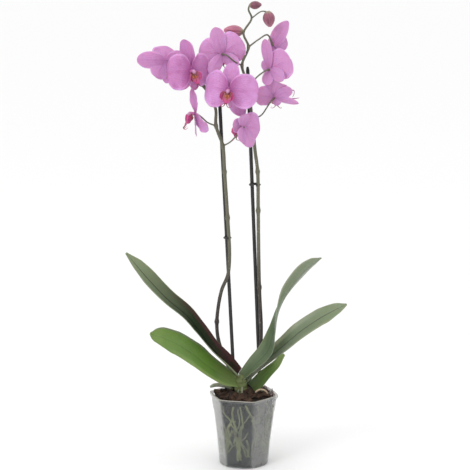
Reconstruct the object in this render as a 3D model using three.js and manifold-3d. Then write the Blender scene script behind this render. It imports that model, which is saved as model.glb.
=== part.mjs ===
// Potted moth orchid: a leafy plant with two staked flower spikes in a clear six-cornered pot.
// Millimetres, +Z up. The origin is the centre of the pot's base and the flowers face -Y.

import * as THREE from 'three';
import { mergeVertices } from 'three/addons/utils/BufferGeometryUtils.js';
import Module from 'manifold-3d';

const wasm = await Module();
wasm.setup();

// ---------------------------------------------------------------- driving dimensions

const GAP = 0.3;
const POT = {
  height: 120, baseRadius: 41, cornerRadius: 57.5, wall: 1.3, floor: 2,
  cornerTurn: -13.5, rimOut: 3, rimHeight: 5, stepDrop: 28, stepDepth: 0.8,
  drainHoles: 6, drainRadius: 3.5, drainCircle: 25,
};
const MEDIUM = { gap: 0.8, edgeDrop: 7, heap: 9, lumps: 2.2 };
const STAKE = { radius: 2.8 };
const CLIP = { height: 7, wall: 1.5 };
const TUBE_SIDES = 7;
const LEAF_THICK = { base: 3.4, tip: 1.8 };
const TEPAL_THICK = 1.2;
const EDGE_THICK = 0.45;
// How far in front of a flower's middle its sepals, petals and lip start, and behind it its stalk ends.
const FLOWER_STARTS = { sepals: -1.6, petals: 1.4, lip: 3.4, stalk: -2.4 };
const TEPAL_AT = [0, 0.12, 0.32, 0.55, 0.78, 0.93, 1];
const LOBE_AT = [0, 0.3, 0.7, 1];
const LEAF_STEPS = 13;

const COLOURS = {
  pot: [0x9a9c9c, 0.25], bark: [0x3c2a20, 0.8], crown: [0x9fae6a, 0.5], leaf: [0x5f7a4a, 0.4],
  root: [0x9aa48a, 0.7], spike: [0x6d6a4a, 0.5], stake: [0x2c2828, 0.4], clip: [0x1c1c1e, 0.35],
  bud: [0xa06070, 0.5], sepal: [0xc488c4, 0.55], petal: [0xd298d4, 0.55], lip: [0xa02c60, 0.45],
};

// ---------------------------------------------------------------- small helpers

const vec = (p) => new THREE.Vector3(...p);
const rad = THREE.MathUtils.degToRad;
const lerp = THREE.MathUtils.lerp;

function valueAlong(values, t) {
  const place = t * (values.length - 1);
  const from = Math.floor(place);
  return lerp(values[from], values[from + 1] ?? values[from], place - from);
}

function solidFrom(geometry) {
  for (const name of Object.keys(geometry.attributes)) {
    if (name !== 'position') geometry.deleteAttribute(name);
  }
  const merged = mergeVertices(geometry, 1e-4);
  const mesh = new wasm.Mesh({
    numProp: 3,
    vertProperties: Float32Array.from(merged.attributes.position.array),
    triVerts: Uint32Array.from(merged.index.array),
  });
  return new wasm.Manifold(mesh);
}

// Skins a row of rings, closes both ends with a fan and turns the faces outward. On a thin blade the
// second half of each ring is its back, split along the same diagonals as its front.
function loft(rings, thin = false) {
  const sides = rings[0].length;
  const points = rings.flat();
  const faces = [];
  for (let row = 0; row + 1 < rings.length; row++) {
    for (let side = 0; side < sides; side++) {
      const next = (side + 1) % sides;
      const [a, b] = [row * sides + side, row * sides + next];
      if (thin && side >= sides / 2) faces.push([a, b, a + sides], [b, b + sides, a + sides]);
      else faces.push([a, b, b + sides], [a, b + sides, a + sides]);
    }
  }
  for (const [row, flip] of [[0, true], [rings.length - 1, false]]) {
    const middle = new THREE.Vector3();
    rings[row].forEach((p) => middle.addScaledVector(p, 1 / sides));
    points.push(middle);
    for (let side = 0; side < sides; side++) {
      const edge = [row * sides + side, row * sides + ((side + 1) % sides)];
      if (flip) edge.reverse();
      faces.push([...edge, points.length - 1]);
    }
  }
  const volume = faces.reduce((sum, [a, b, c]) => (
    sum + points[a].dot(points[b].clone().cross(points[c]))), 0);
  if (volume < 0) faces.forEach((face) => face.reverse());
  const geometry = new THREE.BufferGeometry();
  geometry.setAttribute('position', new THREE.Float32BufferAttribute(points.flatMap((p) => [p.x, p.y, p.z]), 3));
  geometry.setIndex(faces.flat());
  return solidFrom(geometry);
}

// A round stem through the given points, each span of it in equal parts. Its radius follows the radii.
function stem(points, radii, parts, grow, sides = TUBE_SIDES) {
  const curve = new THREE.CatmullRomCurve3(points.map(vec), false, 'centripetal');
  const steps = parts * (points.length - 1);
  const rings = [];
  let side = null;
  for (let step = 0; step <= steps; step++) {
    const t = step / steps;
    const along = curve.getTangent(t);
    side ??= new THREE.Vector3(0, 1, 0).cross(along).normalize();
    side.addScaledVector(along, -side.dot(along)).normalize();
    const across = along.clone().cross(side);
    const centre = curve.getPoint(t);
    if (step === 0) centre.addScaledVector(along, -grow);
    if (step === steps) centre.addScaledVector(along, grow);
    const radius = valueAlong(radii, t) + grow;
    rings.push(Array.from({ length: sides }, (_, k) => {
      const angle = (2 * Math.PI * k) / sides;
      return centre.clone()
        .addScaledVector(side, radius * Math.cos(angle))
        .addScaledVector(across, radius * Math.sin(angle));
    }));
  }
  return loft(rings);
}

// The ring of a blade at one place: a flat section, thick in the middle, its edges lifted by the fold.
const LEAF_RING = [[-1, 0], [-0.5, 1], [0, 1], [0.5, 1], [1, 0], [0.5, -1], [0, -1], [-0.5, -1]];
const TEPAL_RING = [[-1, 0], [0, 1], [1, 0], [0, -1]];

function bladeRing(section, centre, across, normal, half, thick, fold, grow) {
  return section.map(([s, face]) => {
    const depth = (face === 0 ? 0 : face * (lerp(thick / 2, EDGE_THICK, s * s) + grow));
    return centre.clone()
      .addScaledVector(across, s * (half + grow))
      .addScaledVector(normal, fold * half * s * s + depth);
  });
}

// ---------------------------------------------------------------- pot and medium

// Radius of the pot's outline at a height and an angle: round at the base, six-cornered at the top.
function potOutline(angle, height, inset) {
  const part = height / POT.height;
  const sector = Math.PI / 3;
  const fromCorner = (((angle - rad(POT.cornerTurn)) % sector) + sector) % sector;
  const corner = lerp(POT.baseRadius, POT.cornerRadius, part);
  const flat = (corner * Math.cos(sector / 2)) / Math.cos(fromCorner - sector / 2);
  const round = lerp(POT.baseRadius, POT.cornerRadius * 0.955, part);
  const squareness = 0.86 * THREE.MathUtils.smoothstep(part, 0, 0.85);
  return lerp(round, flat, squareness) - inset;
}

const POT_SEGMENTS = 36;
const POT_ROWS = [30, 60, POT.height - POT.stepDrop];

function potRing(height, inset) {
  return Array.from({ length: POT_SEGMENTS }, (_, k) => {
    const angle = rad(POT.cornerTurn) + (2 * Math.PI * k) / POT_SEGMENTS;
    const radius = potOutline(angle, height, inset);
    return new THREE.Vector3(radius * Math.cos(angle), radius * Math.sin(angle), height);
  });
}

function pot() {
  const { height, floor, wall, stepDepth, rimHeight, rimOut } = POT;
  const [low, middle, step] = POT_ROWS;
  const outer = [[0, 1.5], [1.5, 0], [low, 0], [middle, 0], [step - 1, 0], [step, -stepDepth],
    [height - rimHeight, -stepDepth], [height - rimHeight + 1, -rimOut], [height, -rimOut]];
  const inner = [[height, wall - stepDepth], [step + 1, wall - stepDepth], [step, wall],
    [middle, wall], [low, wall], [floor, wall]];
  let body = loft([...outer, ...inner].map(([at, inset]) => potRing(at, inset)));
  for (let k = 0; k < POT.drainHoles; k++) {
    const angle = (2 * Math.PI * (k + 0.5)) / POT.drainHoles;
    const hole = new THREE.CylinderGeometry(POT.drainRadius, POT.drainRadius, 4 * POT.floor, 8);
    hole.rotateX(Math.PI / 2);
    hole.translate(POT.drainCircle * Math.cos(angle), POT.drainCircle * Math.sin(angle), POT.floor);
    body = body.subtract(solidFrom(hole));
  }
  return body;
}

function mediumTop(x, y) {
  const reach = Math.hypot(x, y) / POT.baseRadius;
  const lump = Math.sin(x * 0.21 + 1) * Math.cos(y * 0.24) + 0.6 * Math.sin(x * 0.11 - y * 0.17);
  return POT.height - MEDIUM.edgeDrop + MEDIUM.heap * Math.max(0, 1 - reach * reach * 0.7)
    + MEDIUM.lumps * lump;
}

function medium() {
  const inset = POT.wall + MEDIUM.gap;
  const rings = [POT.floor + GAP, ...POT_ROWS].map((height) => potRing(height, inset));
  const shoulder = potRing(POT.height - MEDIUM.edgeDrop - 6, inset);
  rings.push(shoulder);
  for (const part of [0.96, 0.72, 0.48, 0.24, 0.06]) {
    rings.push(shoulder.map((p) => {
      const [x, y] = [p.x * part, p.y * part];
      return new THREE.Vector3(x, y, mediumTop(x, y));
    }));
  }
  return loft(rings);
}

// ---------------------------------------------------------------- crown and leaves

const CROWN = { at: [-5, -4], foot: 116, top: 152, radius: 9.5 };

function crown(grow) {
  const [x, y] = CROWN.at;
  const points = [[x, y, CROWN.foot], [x, y, 126], [x, y, 140], [x - 1, y, CROWN.top]];
  return stem(points, [7, CROWN.radius, 8, 3.5], 2, grow, 12);
}

// Each station of a leaf: where its midrib runs, its half width, which way its upper face looks and
// how deep it is folded along the midrib.
const LEAVES = [
  { name: 'leaf_1', clearOf: ['leaf_2', 'leaf_3'], stations: [
    [[-9, -8, 156], 11, [0.66, -0.3, 0.7], 0.6], [[-31, -12, 178], 12, [0.6, -0.4, 0.7], 0.65],
    [[-54, -14, 202], 13, [0.6, -0.5, 0.62], 0.6], [[-76, -14, 232], 15, [0.62, -0.52, 0.55], 0.45],
    [[-97, -16, 258], 17, [0.6, -0.5, 0.6], 0.4], [[-126, -20, 284], 18, [0.55, -0.5, 0.65], 0.35],
    [[-156, -24, 317], 19, [0.55, -0.5, 0.65], 0.3], [[-177, -27, 343], 15, [0.55, -0.45, 0.65], 0.25],
    [[-194, -30, 365], 3, [0.55, -0.4, 0.65], 0.2]] },
  { name: 'leaf_2', stations: [
    [[-12, -8, 136], 10, [0.5, -0.5, 0.7], 0.5], [[-36, -17, 150], 17, [0.5, -0.55, 0.65], 0.3],
    [[-60, -28, 173], 23, [0.45, -0.55, 0.65], 0.18], [[-85, -38, 197], 26, [0.4, -0.55, 0.7], 0.12],
    [[-112, -46, 216], 26, [0.35, -0.55, 0.75], 0.1], [[-134, -52, 228], 22, [0.3, -0.55, 0.8], 0.1],
    [[-148, -55, 232], 13, [0.28, -0.55, 0.8], 0.08], [[-154, -57, 236], 3, [0.25, -0.55, 0.8], 0.05]] },
  { name: 'leaf_3', clearOf: ['leaf_4'], stations: [
    [[-1, -6, 147], 10, [-0.6, -0.5, 0.62], 0.6], [[21, -8, 172], 16, [-0.6, -0.55, 0.58], 0.45],
    [[42, -10, 197], 19, [-0.66, -0.52, 0.5], 0.35], [[50, -9, 228], 16, [-0.85, -0.3, 0.35], 0.3],
    [[58, -4, 265], 13, [-0.96, 0.05, 0.25], 0.3], [[75, 0, 297], 18, [-0.75, 0.5, 0.45], 0.3],
    [[98, 4, 326], 20, [-0.55, 0.6, 0.6], 0.25], [[117, 8, 342], 14, [-0.5, 0.6, 0.65], 0.2],
    [[129, 10, 350], 2, [-0.5, 0.5, 0.7], 0.1]] },
  { name: 'leaf_4', stations: [
    [[0, 0, 135], 9, [-0.6, -0.4, 0.7], 0.6], [[25, 2, 164], 13, [-0.5, -0.55, 0.68], 0.45],
    [[49, 2, 185], 14, [-0.42, -0.6, 0.7], 0.35], [[70, 1, 204], 16, [-0.42, -0.62, 0.66], 0.3],
    [[97, -2, 228], 18, [-0.4, -0.62, 0.66], 0.25], [[130, -6, 252], 18, [-0.36, -0.62, 0.7], 0.2],
    [[156, -9, 267], 12, [-0.3, -0.62, 0.72], 0.15], [[171, -10, 275], 2, [-0.25, -0.6, 0.75], 0.1]] },
  { name: 'leaf_5', stations: [
    [[15, -1, 128], 10, [-0.4, -0.8, 0.45], 0.4], [[28, -5, 143], 11, [-0.4, -0.8, 0.45], 0.3],
    [[41, -11, 159], 10, [-0.38, -0.8, 0.45], 0.2], [[53, -19, 173], 8, [-0.36, -0.8, 0.45], 0.15],
    [[61, -22, 183], 6, [-0.36, -0.8, 0.45], 0.1], [[67, -24, 189], 3, [-0.36, -0.8, 0.45], 0.1]] },
];

function leaf({ stations }, grow) {
  const through = (points) => new THREE.CatmullRomCurve3(points.map(vec));
  const spine = through(stations.map(([at]) => at));
  const faces = through(stations.map((station) => station[2]));
  const shapes = through(stations.map(([, half, , fold]) => [half, fold, 0]));
  const rings = [];
  for (let step = 0; step <= LEAF_STEPS; step++) {
    const t = step / LEAF_STEPS;
    const along = spine.getTangent(t);
    const face = faces.getPoint(t);
    const normal = face.addScaledVector(along, -face.dot(along)).normalize();
    const across = along.clone().cross(normal);
    const { x: half, y: fold } = shapes.getPoint(t);
    const thick = lerp(LEAF_THICK.base, LEAF_THICK.tip, t);
    rings.push(bladeRing(LEAF_RING, spine.getPoint(t), across, normal, half, thick, fold, grow));
  }
  return loft(rings, true);
}

// ---------------------------------------------------------------- roots, stakes and clips

// Points inside the pot's wall, from the angle and the height of each.
function alongWall(places, radius) {
  return places.map(([turn, height]) => {
    const reach = potOutline(rad(turn), height, POT.wall + radius + 2 * GAP);
    return [reach * Math.cos(rad(turn)), reach * Math.sin(rad(turn)), height];
  });
}

const ROOTS = {
  aerial_root_1: { radius: 3.4, points: [[-20, 5, 124], [-28, 7, 130], [-40, 12, 131], [-50, 14, 130],
    [-57, 14, 127]] },
  aerial_root_2: { radius: 1.5, points: [[20, -14, 112], [18, -16, 120], [21, -18, 128], [29, -19, 131.5],
    [37, -18, 128], [40, -16, 120], [38, -14, 112]] },
  aerial_root_3: { radius: 1.3, points: [[-9, -14, 130], [-11, -17, 122], [-10, -18, 112]] },
  aerial_root_4: { radius: 1.3, points: [[-3, -14, 134], [-3, -18, 124], [-1, -19, 112]] },
  wall_root_1: { radius: 2.4, points: alongWall([[-118, 98], [-124, 78], [-117, 54], [-125, 30]], 2.4) },
  wall_root_2: { radius: 2.2, points: alongWall([[-86, 96], [-80, 70], [-88, 44], [-82, 22]], 2.2) },
  wall_root_3: { radius: 2.4, points: alongWall([[-46, 98], [-38, 74], [-45, 50], [-39, 26]], 2.4) },
};

function root({ points, radius }, grow) {
  return stem(points, [radius, radius, radius, radius * 0.75], 3, grow, 6);
}

const STAKES = {
  stake_left: [[-10.5, 13.5, 20], [-43, 17, 663]],
  stake_right: [[31, 18.5, 40], [5.5, 16, 667]],
};

const stake = (ends, grow) => stem(ends, [STAKE.radius], 1, grow, 10);

const CLIPS = {
  clip_left: { at: 384, stake: 'stake_left', beside: [-26, 7] },
  clip_right: { at: 473, stake: 'stake_right', beside: [22.5, 7] },
  clip_top: { at: 648, stake: 'stake_right', beside: [12, 13] },
};

// Where a stake stands at a height.
function stakeAt(name, height) {
  const [foot, top] = STAKES[name];
  return vec(foot).lerp(vec(top), (height - foot[2]) / (top[2] - foot[2]));
}

// A band around a stake and the spike beside it, cut by both so that it only clasps them.
function clip({ at, stake: name, beside }) {
  const post = stakeAt(name, at);
  const middle = new THREE.Vector2((post.x + beside[0]) / 2, (post.y + beside[1]) / 2);
  const reach = new THREE.Vector2(post.x - beside[0], post.y - beside[1]);
  const radius = STAKE.radius + CLIP.wall;
  const outline = new THREE.Shape();
  outline.absarc(reach.length() / 2, 0, radius, -Math.PI / 2, Math.PI / 2);
  outline.absarc(-reach.length() / 2, 0, radius, Math.PI / 2, -Math.PI / 2);
  const band = new THREE.ExtrudeGeometry(outline, { depth: CLIP.height, bevelEnabled: false, curveSegments: 8 });
  band.rotateZ(reach.angle());
  band.translate(middle.x, middle.y, at - CLIP.height / 2);
  return solidFrom(band);
}

// ---------------------------------------------------------------- flowers

// Every tepal: turn around the face, length, half width, lift out of the face, curl along its length,
// sway sideways, roll about its own midrib, taper towards its tip and cup of its edges. A lip lobe
// also has its drop below the flower's middle. Angles in degrees, sizes in millimetres.
const PLAIN = { lift: -8, curl: -14, sway: 0, roll: 0, taper: 0, cup: 0.12, drop: 0 };

const FLOWERS = [
  { name: 'flower_1', at: [-128, 12, 678], yaw: 195, pitch: 0, roll: 0, tepals: {
    dorsal: { turn: 2, length: 50, half: 14, lift: 0 },
    petals: [{ turn: 102, length: 27, half: 23, lift: 40 }, { turn: -55, length: 34, half: 17 }],
    sepals: [{ turn: -92, length: 38, half: 9, lift: 8 }, { turn: 160, length: 30, half: 10, lift: 0 }] } },
  { name: 'flower_2', at: [-87, -18, 662], yaw: 38, pitch: -5, roll: 10, tepals: {
    dorsal: { turn: 87, length: 52, half: 15 },
    petals: [{ turn: 172, length: 42, half: 30, lift: -12 }, { turn: -2, length: 37, half: 27, lift: 4 }],
    sepals: [{ turn: 240, length: 34, half: 13 }, { turn: 298, length: 42, half: 12 }] } },
  { name: 'flower_3', at: [-36, 9, 688], yaw: 178, pitch: 0, roll: 0, tepals: {
    dorsal: { turn: 76, length: 47, half: 13 },
    petals: [{ turn: 146, length: 42, half: 26 }, { turn: 8, length: 39, half: 24, lift: 12 }],
    sepals: [{ turn: -58, length: 38, half: 11 }, { turn: 215, length: 34, half: 11 }] } },
  { name: 'flower_4', at: [-25, -24, 631], yaw: -10, pitch: -4, roll: -6, tepals: {
    dorsal: { turn: 89, length: 46, half: 14 },
    petals: [{ turn: 178, length: 41, half: 31 }, { turn: 4, length: 49, half: 29 }],
    sepals: [{ turn: 222, length: 40, half: 13, lift: -14 }, { turn: 302, length: 50, half: 13 }] } },
  { name: 'flower_5', at: [47.5, 24, 701], yaw: 165, pitch: 0, roll: 0, tepals: {
    dorsal: { turn: 113, length: 48, half: 17, lift: 10, curl: -20, sway: 18, taper: 0.5 },
    petals: [{ turn: 150, length: 30, half: 15, lift: 55 }, { turn: 30, length: 26, half: 13, lift: 60 }],
    sepals: [{ turn: 290, length: 28, half: 6, lift: 30 }, { turn: 225, length: 26, half: 8, lift: 50 }] } },
  { name: 'flower_6', at: [41.5, 8, 663], yaw: 160, pitch: 0, roll: 0, tepals: {
    dorsal: { turn: 86, length: 52, half: 9, roll: 24 },
    petals: [{ turn: 155, length: 45, half: 26 }, { turn: 40, length: 22, half: 10, lift: 30 }],
    sepals: [{ turn: 208, length: 32, half: 11, lift: -4 }, { turn: 280, length: 26, half: 10, lift: 0 }] } },
  { name: 'flower_7', at: [50, 19, 616], yaw: 170, pitch: 15, roll: 0, tepals: {
    dorsal: { turn: 148, length: 38, half: 10 },
    petals: [{ turn: 106, length: 32, half: 20 }, { turn: 12, length: 32, half: 18 }],
    sepals: [{ turn: 186, length: 44, half: 7, taper: 0.3 }, { turn: 228, length: 14, half: 8 }] } },
  { name: 'flower_8', at: [-80, 0, 591], yaw: -80, pitch: 0, roll: 0, tepals: {
    dorsal: { turn: 92, length: 42, half: 14, lift: 4, curl: 12, roll: 60, taper: 0.6 },
    petals: [{ turn: 225, length: 34, half: 15, lift: -25 }, { turn: -50, length: 38, half: 17, lift: -25 }],
    sepals: [{ turn: 262, length: 38, half: 8, lift: 5 }, { turn: 150, length: 30, half: 10, lift: -5 }] } },
  { name: 'flower_9', at: [-2, -24, 573], yaw: 222, pitch: 0, roll: 0, tepals: {
    dorsal: { turn: 88, length: 22, half: 12 },
    petals: [{ turn: 192, length: 33, half: 26 }, { turn: 10, length: 18, half: 12, lift: 20 }],
    sepals: [{ turn: 253, length: 36, half: 15 }, { turn: 290, length: 28, half: 11 }] } },
];

// The flower's own axes: right and up across its face, and out of its face.
function faceAxes({ yaw, pitch, roll }) {
  const out = new THREE.Vector3(Math.sin(rad(yaw)) * Math.cos(rad(pitch)),
    -Math.cos(rad(yaw)) * Math.cos(rad(pitch)), Math.sin(rad(pitch)));
  const up = new THREE.Vector3(0, 0, 1).addScaledVector(out, -out.z).normalize();
  up.applyAxisAngle(out, rad(roll));
  return { right: up.clone().cross(out), up, out };
}

// The outline of a tepal: a narrow claw, then an oval that is widest past the middle.
const CLAW = 0.26;
const tepalWidth = (t) => Math.max(CLAW, Math.sqrt(Math.max(0, 1 - ((t - 0.54) / 0.485) ** 2)));

function tepal(flower, shape, start, grow, places = TEPAL_AT) {
  const { right, up, out } = faceAxes(flower);
  const { turn, length, half, lift, curl, sway, roll, taper, cup, drop } = { ...PLAIN, ...shape };
  const centre = vec(flower.at).addScaledVector(out, start).addScaledVector(up, -drop);
  const rings = [];
  places.forEach((t, index) => {
    const heading = rad(turn + sway * t);
    const away = right.clone().multiplyScalar(Math.cos(heading)).addScaledVector(up, Math.sin(heading));
    const bend = rad(lift + curl * t);
    const along = away.clone().multiplyScalar(Math.cos(bend)).addScaledVector(out, Math.sin(bend));
    if (index > 0) centre.addScaledVector(along, length * (t - places[index - 1]));
    const normal = out.clone().multiplyScalar(Math.cos(bend)).addScaledVector(away, -Math.sin(bend));
    normal.applyAxisAngle(along, rad(roll * t));
    const across = along.clone().cross(normal);
    const reach = half * tepalWidth(t) * (1 - taper * t);
    rings.push(bladeRing(TEPAL_RING, centre.clone(), across, normal, reach, TEPAL_THICK, cup, grow));
  });
  return loft(rings, true);
}

const LIP_LOBES = [
  { turn: -90, length: 24, half: 6, lift: 32, curl: 6, cup: 0.2 },
  { turn: -22, length: 14, half: 6, lift: 40, curl: 20, cup: 0.25, drop: 6 },
  { turn: -158, length: 14, half: 6, lift: 40, curl: 20, cup: 0.25, drop: 6 },
];

// The column stands out of the middle of the flower, above the lip.
function column(flower, grow) {
  const { up, out } = faceAxes(flower);
  const place = (forward, rise) => vec(flower.at).addScaledVector(out, forward)
    .addScaledVector(up, rise).toArray();
  return stem([place(2.6, 0), place(6, 0.6), place(10.5, -0.8)], [3.4, 2.8, 3.1, 1.8], 1, grow, 6);
}

const sepalParts = ({ dorsal, sepals }) => [dorsal, ...sepals];

// ---------------------------------------------------------------- flower spikes and buds

const SPIKES = {
  spike_left: {
    radii: [3.4, 3.1, 3, 2.9, 2.7, 2.2, 1.6],
    points: [[-13, 7, 137], [-30, 18, 172], [-42, 21, 203], [-45.5, 17, 233], [-43, 11, 266], [-37, 9, 296],
      [-27, 8, 321], [-24, 7, 352], [-27, 6, 418], [-32, 6, 495], [-35, 5, 538], [-46, 4, 571],
      [-47, 6, 600], [-66, 6, 636], [-84, 8, 659], [-105, 10, 675], [-120, 7, 680]],
    pedicels: { flower_9: [[-35, 5, 538], [-24, -8, 545], [-14, -22, 556]],
      flower_8: [[-46, 4, 571], [-60, 2, 577], [-70, 1, 586]],
      flower_2: [[-66, 6, 636], [-76, 0, 650], [-88, -6, 660]] },
  },
  spike_right: {
    radii: [3.4, 3.1, 3, 2.8, 2.3, 1.8, 1.3],
    points: [[6, 9, 134], [14, 12, 152], [24, 12, 176], [28.5, 10, 205], [29, 9, 235], [26, 9, 295],
      [24.5, 8, 360], [23.5, 7, 436], [22.5, 7, 495], [18, 8, 531], [13, 9, 582], [10, 9, 613], [8, 8, 636],
      [-3.5, 6, 669.5], [7, 7, 699.5], [-1, 8, 722], [12, 8, 746], [7, 7, 760], [9, 6, 768]],
    pedicels: { flower_7: [[13, 9, 582], [28, 9, 588], [38, 8, 602], [44, 8, 611]],
      flower_4: [[10, 9, 613], [-4, 0, 622], [-18, -12, 630]],
      flower_6: [[8, 8, 636], [22, 4, 652], [36, 2, 662]],
      flower_3: [[-3.5, 6, 669.5], [-16, -4, 677], [-28, -8, 687]],
      flower_5: [[7, 7, 699.5], [24, 10, 712], [38, 14, 719]] },
  },
};

const BUDS = {
  bud_1: { at: [-17, 21, 725], toward: [-1, 0.3, 0.08], length: 33, radius: 10.5, from: [-1, 8, 722] },
  bud_2: { at: [40, 6, 745], toward: [0.15, 0, -1], length: 25, radius: 9.5, from: [12, 8, 746],
    over: [28, 7, 757] },
  bud_3: { at: [18, 6, 767.5], toward: [1, 0, 0.05], length: 17, radius: 7, from: [9, 6, 768] },
};

function bud({ at, toward, length, radius }) {
  const profile = [[0, -0.5], [0.35, -0.46], [0.8, -0.25], [1, 0], [0.85, 0.25], [0.45, 0.42], [0, 0.5]];
  const shape = new THREE.LatheGeometry(profile.map(([r, h]) => new THREE.Vector2(r * radius, h * length)), 12);
  const turn = new THREE.Quaternion().setFromUnitVectors(new THREE.Vector3(0, 1, 0), vec(toward).normalize());
  shape.applyQuaternion(turn);
  shape.translate(...at);
  return solidFrom(shape);
}

const BUD_STALK = 1.2;

function budStalk({ at, toward, length, from, over }, grow) {
  const end = vec(at).addScaledVector(vec(toward).normalize(), -length / 2 - GAP).toArray();
  return stem(over ? [from, over, end] : [from, end], [BUD_STALK], 2, grow, 6);
}

function pedicel(name, points, grow) {
  const flower = FLOWERS.find((one) => one.name === name);
  const end = vec(flower.at).addScaledVector(faceAxes(flower).out, FLOWER_STARTS.stalk).toArray();
  return stem([...points, end], [1.5, 1.3, 1.5], 2, grow, 6);
}

function spike(name, grow) {
  const { points, radii, pedicels } = SPIKES[name];
  const parts = [stem(points, radii, 2, grow)];
  for (const [flower, route] of Object.entries(pedicels)) parts.push(pedicel(flower, route, grow));
  if (name === 'spike_right') {
    for (const shape of Object.values(BUDS)) parts.push(budStalk(shape, grow));
  }
  return parts;
}

// ---------------------------------------------------------------- assembly

// The pieces in order: each makes its solids a little larger by "grow" when it cuts a neighbour.
const pieces = new Map();

function piece(name, colour, solids, clearOf = [], room = GAP) {
  pieces.set(name, { colour, solids, clearOf, room });
}

const joined = (solids) => solids.reduce((whole, solid) => whole.add(solid));

function largest(solid) {
  return solid.decompose().reduce((best, one) => (one.volume() > best.volume() ? one : best));
}

const rootNames = Object.keys(ROOTS);
const stakeNames = Object.keys(STAKES);
const spikeNames = Object.keys(SPIKES);

piece('pot', 'pot', () => [pot()]);
for (const name of stakeNames) piece(name, 'stake', (grow) => [stake(STAKES[name], grow)]);
for (const name of rootNames) piece(name, 'root', (grow) => [root(ROOTS[name], grow)]);
piece('crown', 'crown', (grow) => [crown(grow)]);
piece('bark_medium', 'bark', () => [medium()], ['crown', ...stakeNames, ...rootNames], 3 * GAP);
for (const name of spikeNames) piece(name, 'spike', (grow) => spike(name, grow), ['crown', ...stakeNames]);
for (const shape of LEAVES) {
  const besides = shape.clearOf ?? [];
  piece(shape.name, 'leaf', (grow) => [leaf(shape, grow)], ['crown', ...stakeNames, ...spikeNames, ...besides]);
}
for (const [name, shape] of Object.entries(CLIPS)) {
  piece(name, 'clip', () => [clip(shape)], [...stakeNames, ...spikeNames]);
}
for (const [name, shape] of Object.entries(BUDS)) piece(name, 'bud', () => [bud(shape)], ['spike_right']);
for (const flower of FLOWERS) {
  const { name, tepals } = flower;
  piece(`${name}_sepals`, 'sepal',
    (grow) => sepalParts(tepals).map((shape) => tepal(flower, shape, FLOWER_STARTS.sepals, grow)), spikeNames);
  piece(`${name}_petals`, 'petal',
    (grow) => tepals.petals.map((shape) => tepal(flower, shape, FLOWER_STARTS.petals, grow)), [`${name}_sepals`, ...spikeNames]);
  piece(`${name}_lip`, 'lip',
    (grow) => [column(flower, grow), ...LIP_LOBES.map(
      (shape) => tepal(flower, shape, FLOWER_STARTS.lip, grow, LOBE_AT))],
    [`${name}_petals`, `${name}_sepals`, ...spikeNames]);
}

function meshOf(name, { colour, solids, clearOf, room }) {
  let body = joined(solids(0));
  for (const other of clearOf) body = body.subtract(joined(pieces.get(other).solids(room)));
  const { vertProperties, triVerts } = largest(body).getMesh();
  const geometry = new THREE.BufferGeometry();
  geometry.setAttribute('position', new THREE.BufferAttribute(vertProperties, 3));
  geometry.setIndex(new THREE.BufferAttribute(triVerts, 1));
  const [tint, roughness] = COLOURS[colour];
  const mesh = new THREE.Mesh(geometry, new THREE.MeshStandardMaterial({ color: tint, roughness, metalness: 0 }));
  mesh.name = name;
  return mesh;
}

const orchid = new THREE.Group();
for (const [name, shape] of pieces) orchid.add(meshOf(name, shape));

export default orchid;
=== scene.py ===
"""Potted moth orchid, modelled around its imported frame: leaves, flower spikes, flowers and a clear pot."""

import math
import random

import bmesh
import bpy
import numpy as np
from mathutils import Matrix, Vector, noise


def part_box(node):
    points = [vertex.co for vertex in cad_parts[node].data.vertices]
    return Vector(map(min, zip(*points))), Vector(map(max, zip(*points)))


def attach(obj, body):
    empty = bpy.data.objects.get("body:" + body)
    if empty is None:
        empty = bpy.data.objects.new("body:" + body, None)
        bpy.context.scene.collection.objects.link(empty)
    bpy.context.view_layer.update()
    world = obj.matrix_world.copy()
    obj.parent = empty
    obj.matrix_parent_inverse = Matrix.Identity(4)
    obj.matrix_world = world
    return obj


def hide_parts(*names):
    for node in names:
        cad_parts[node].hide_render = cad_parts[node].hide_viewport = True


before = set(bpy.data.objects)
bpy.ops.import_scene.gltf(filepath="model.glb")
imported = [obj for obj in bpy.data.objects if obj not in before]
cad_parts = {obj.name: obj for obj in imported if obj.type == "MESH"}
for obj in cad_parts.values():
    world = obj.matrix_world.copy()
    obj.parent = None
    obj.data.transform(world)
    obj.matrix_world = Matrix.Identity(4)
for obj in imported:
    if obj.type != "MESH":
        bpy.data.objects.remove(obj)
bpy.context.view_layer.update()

bl_info = {
    "name": "Potted Orchid",
    "version": (1, 0, 0),
    "blender": (4, 5, 0),
    "location": "View3D > Sidebar > Orchid",
    "description": "Builds a potted moth orchid around its packed frame",
    "category": "Add Mesh",
}

MM = 0.001
BODY = "root"
SEED = 7

# ---------------------------------------------------------------- plant tables, millimetres and degrees

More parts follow.
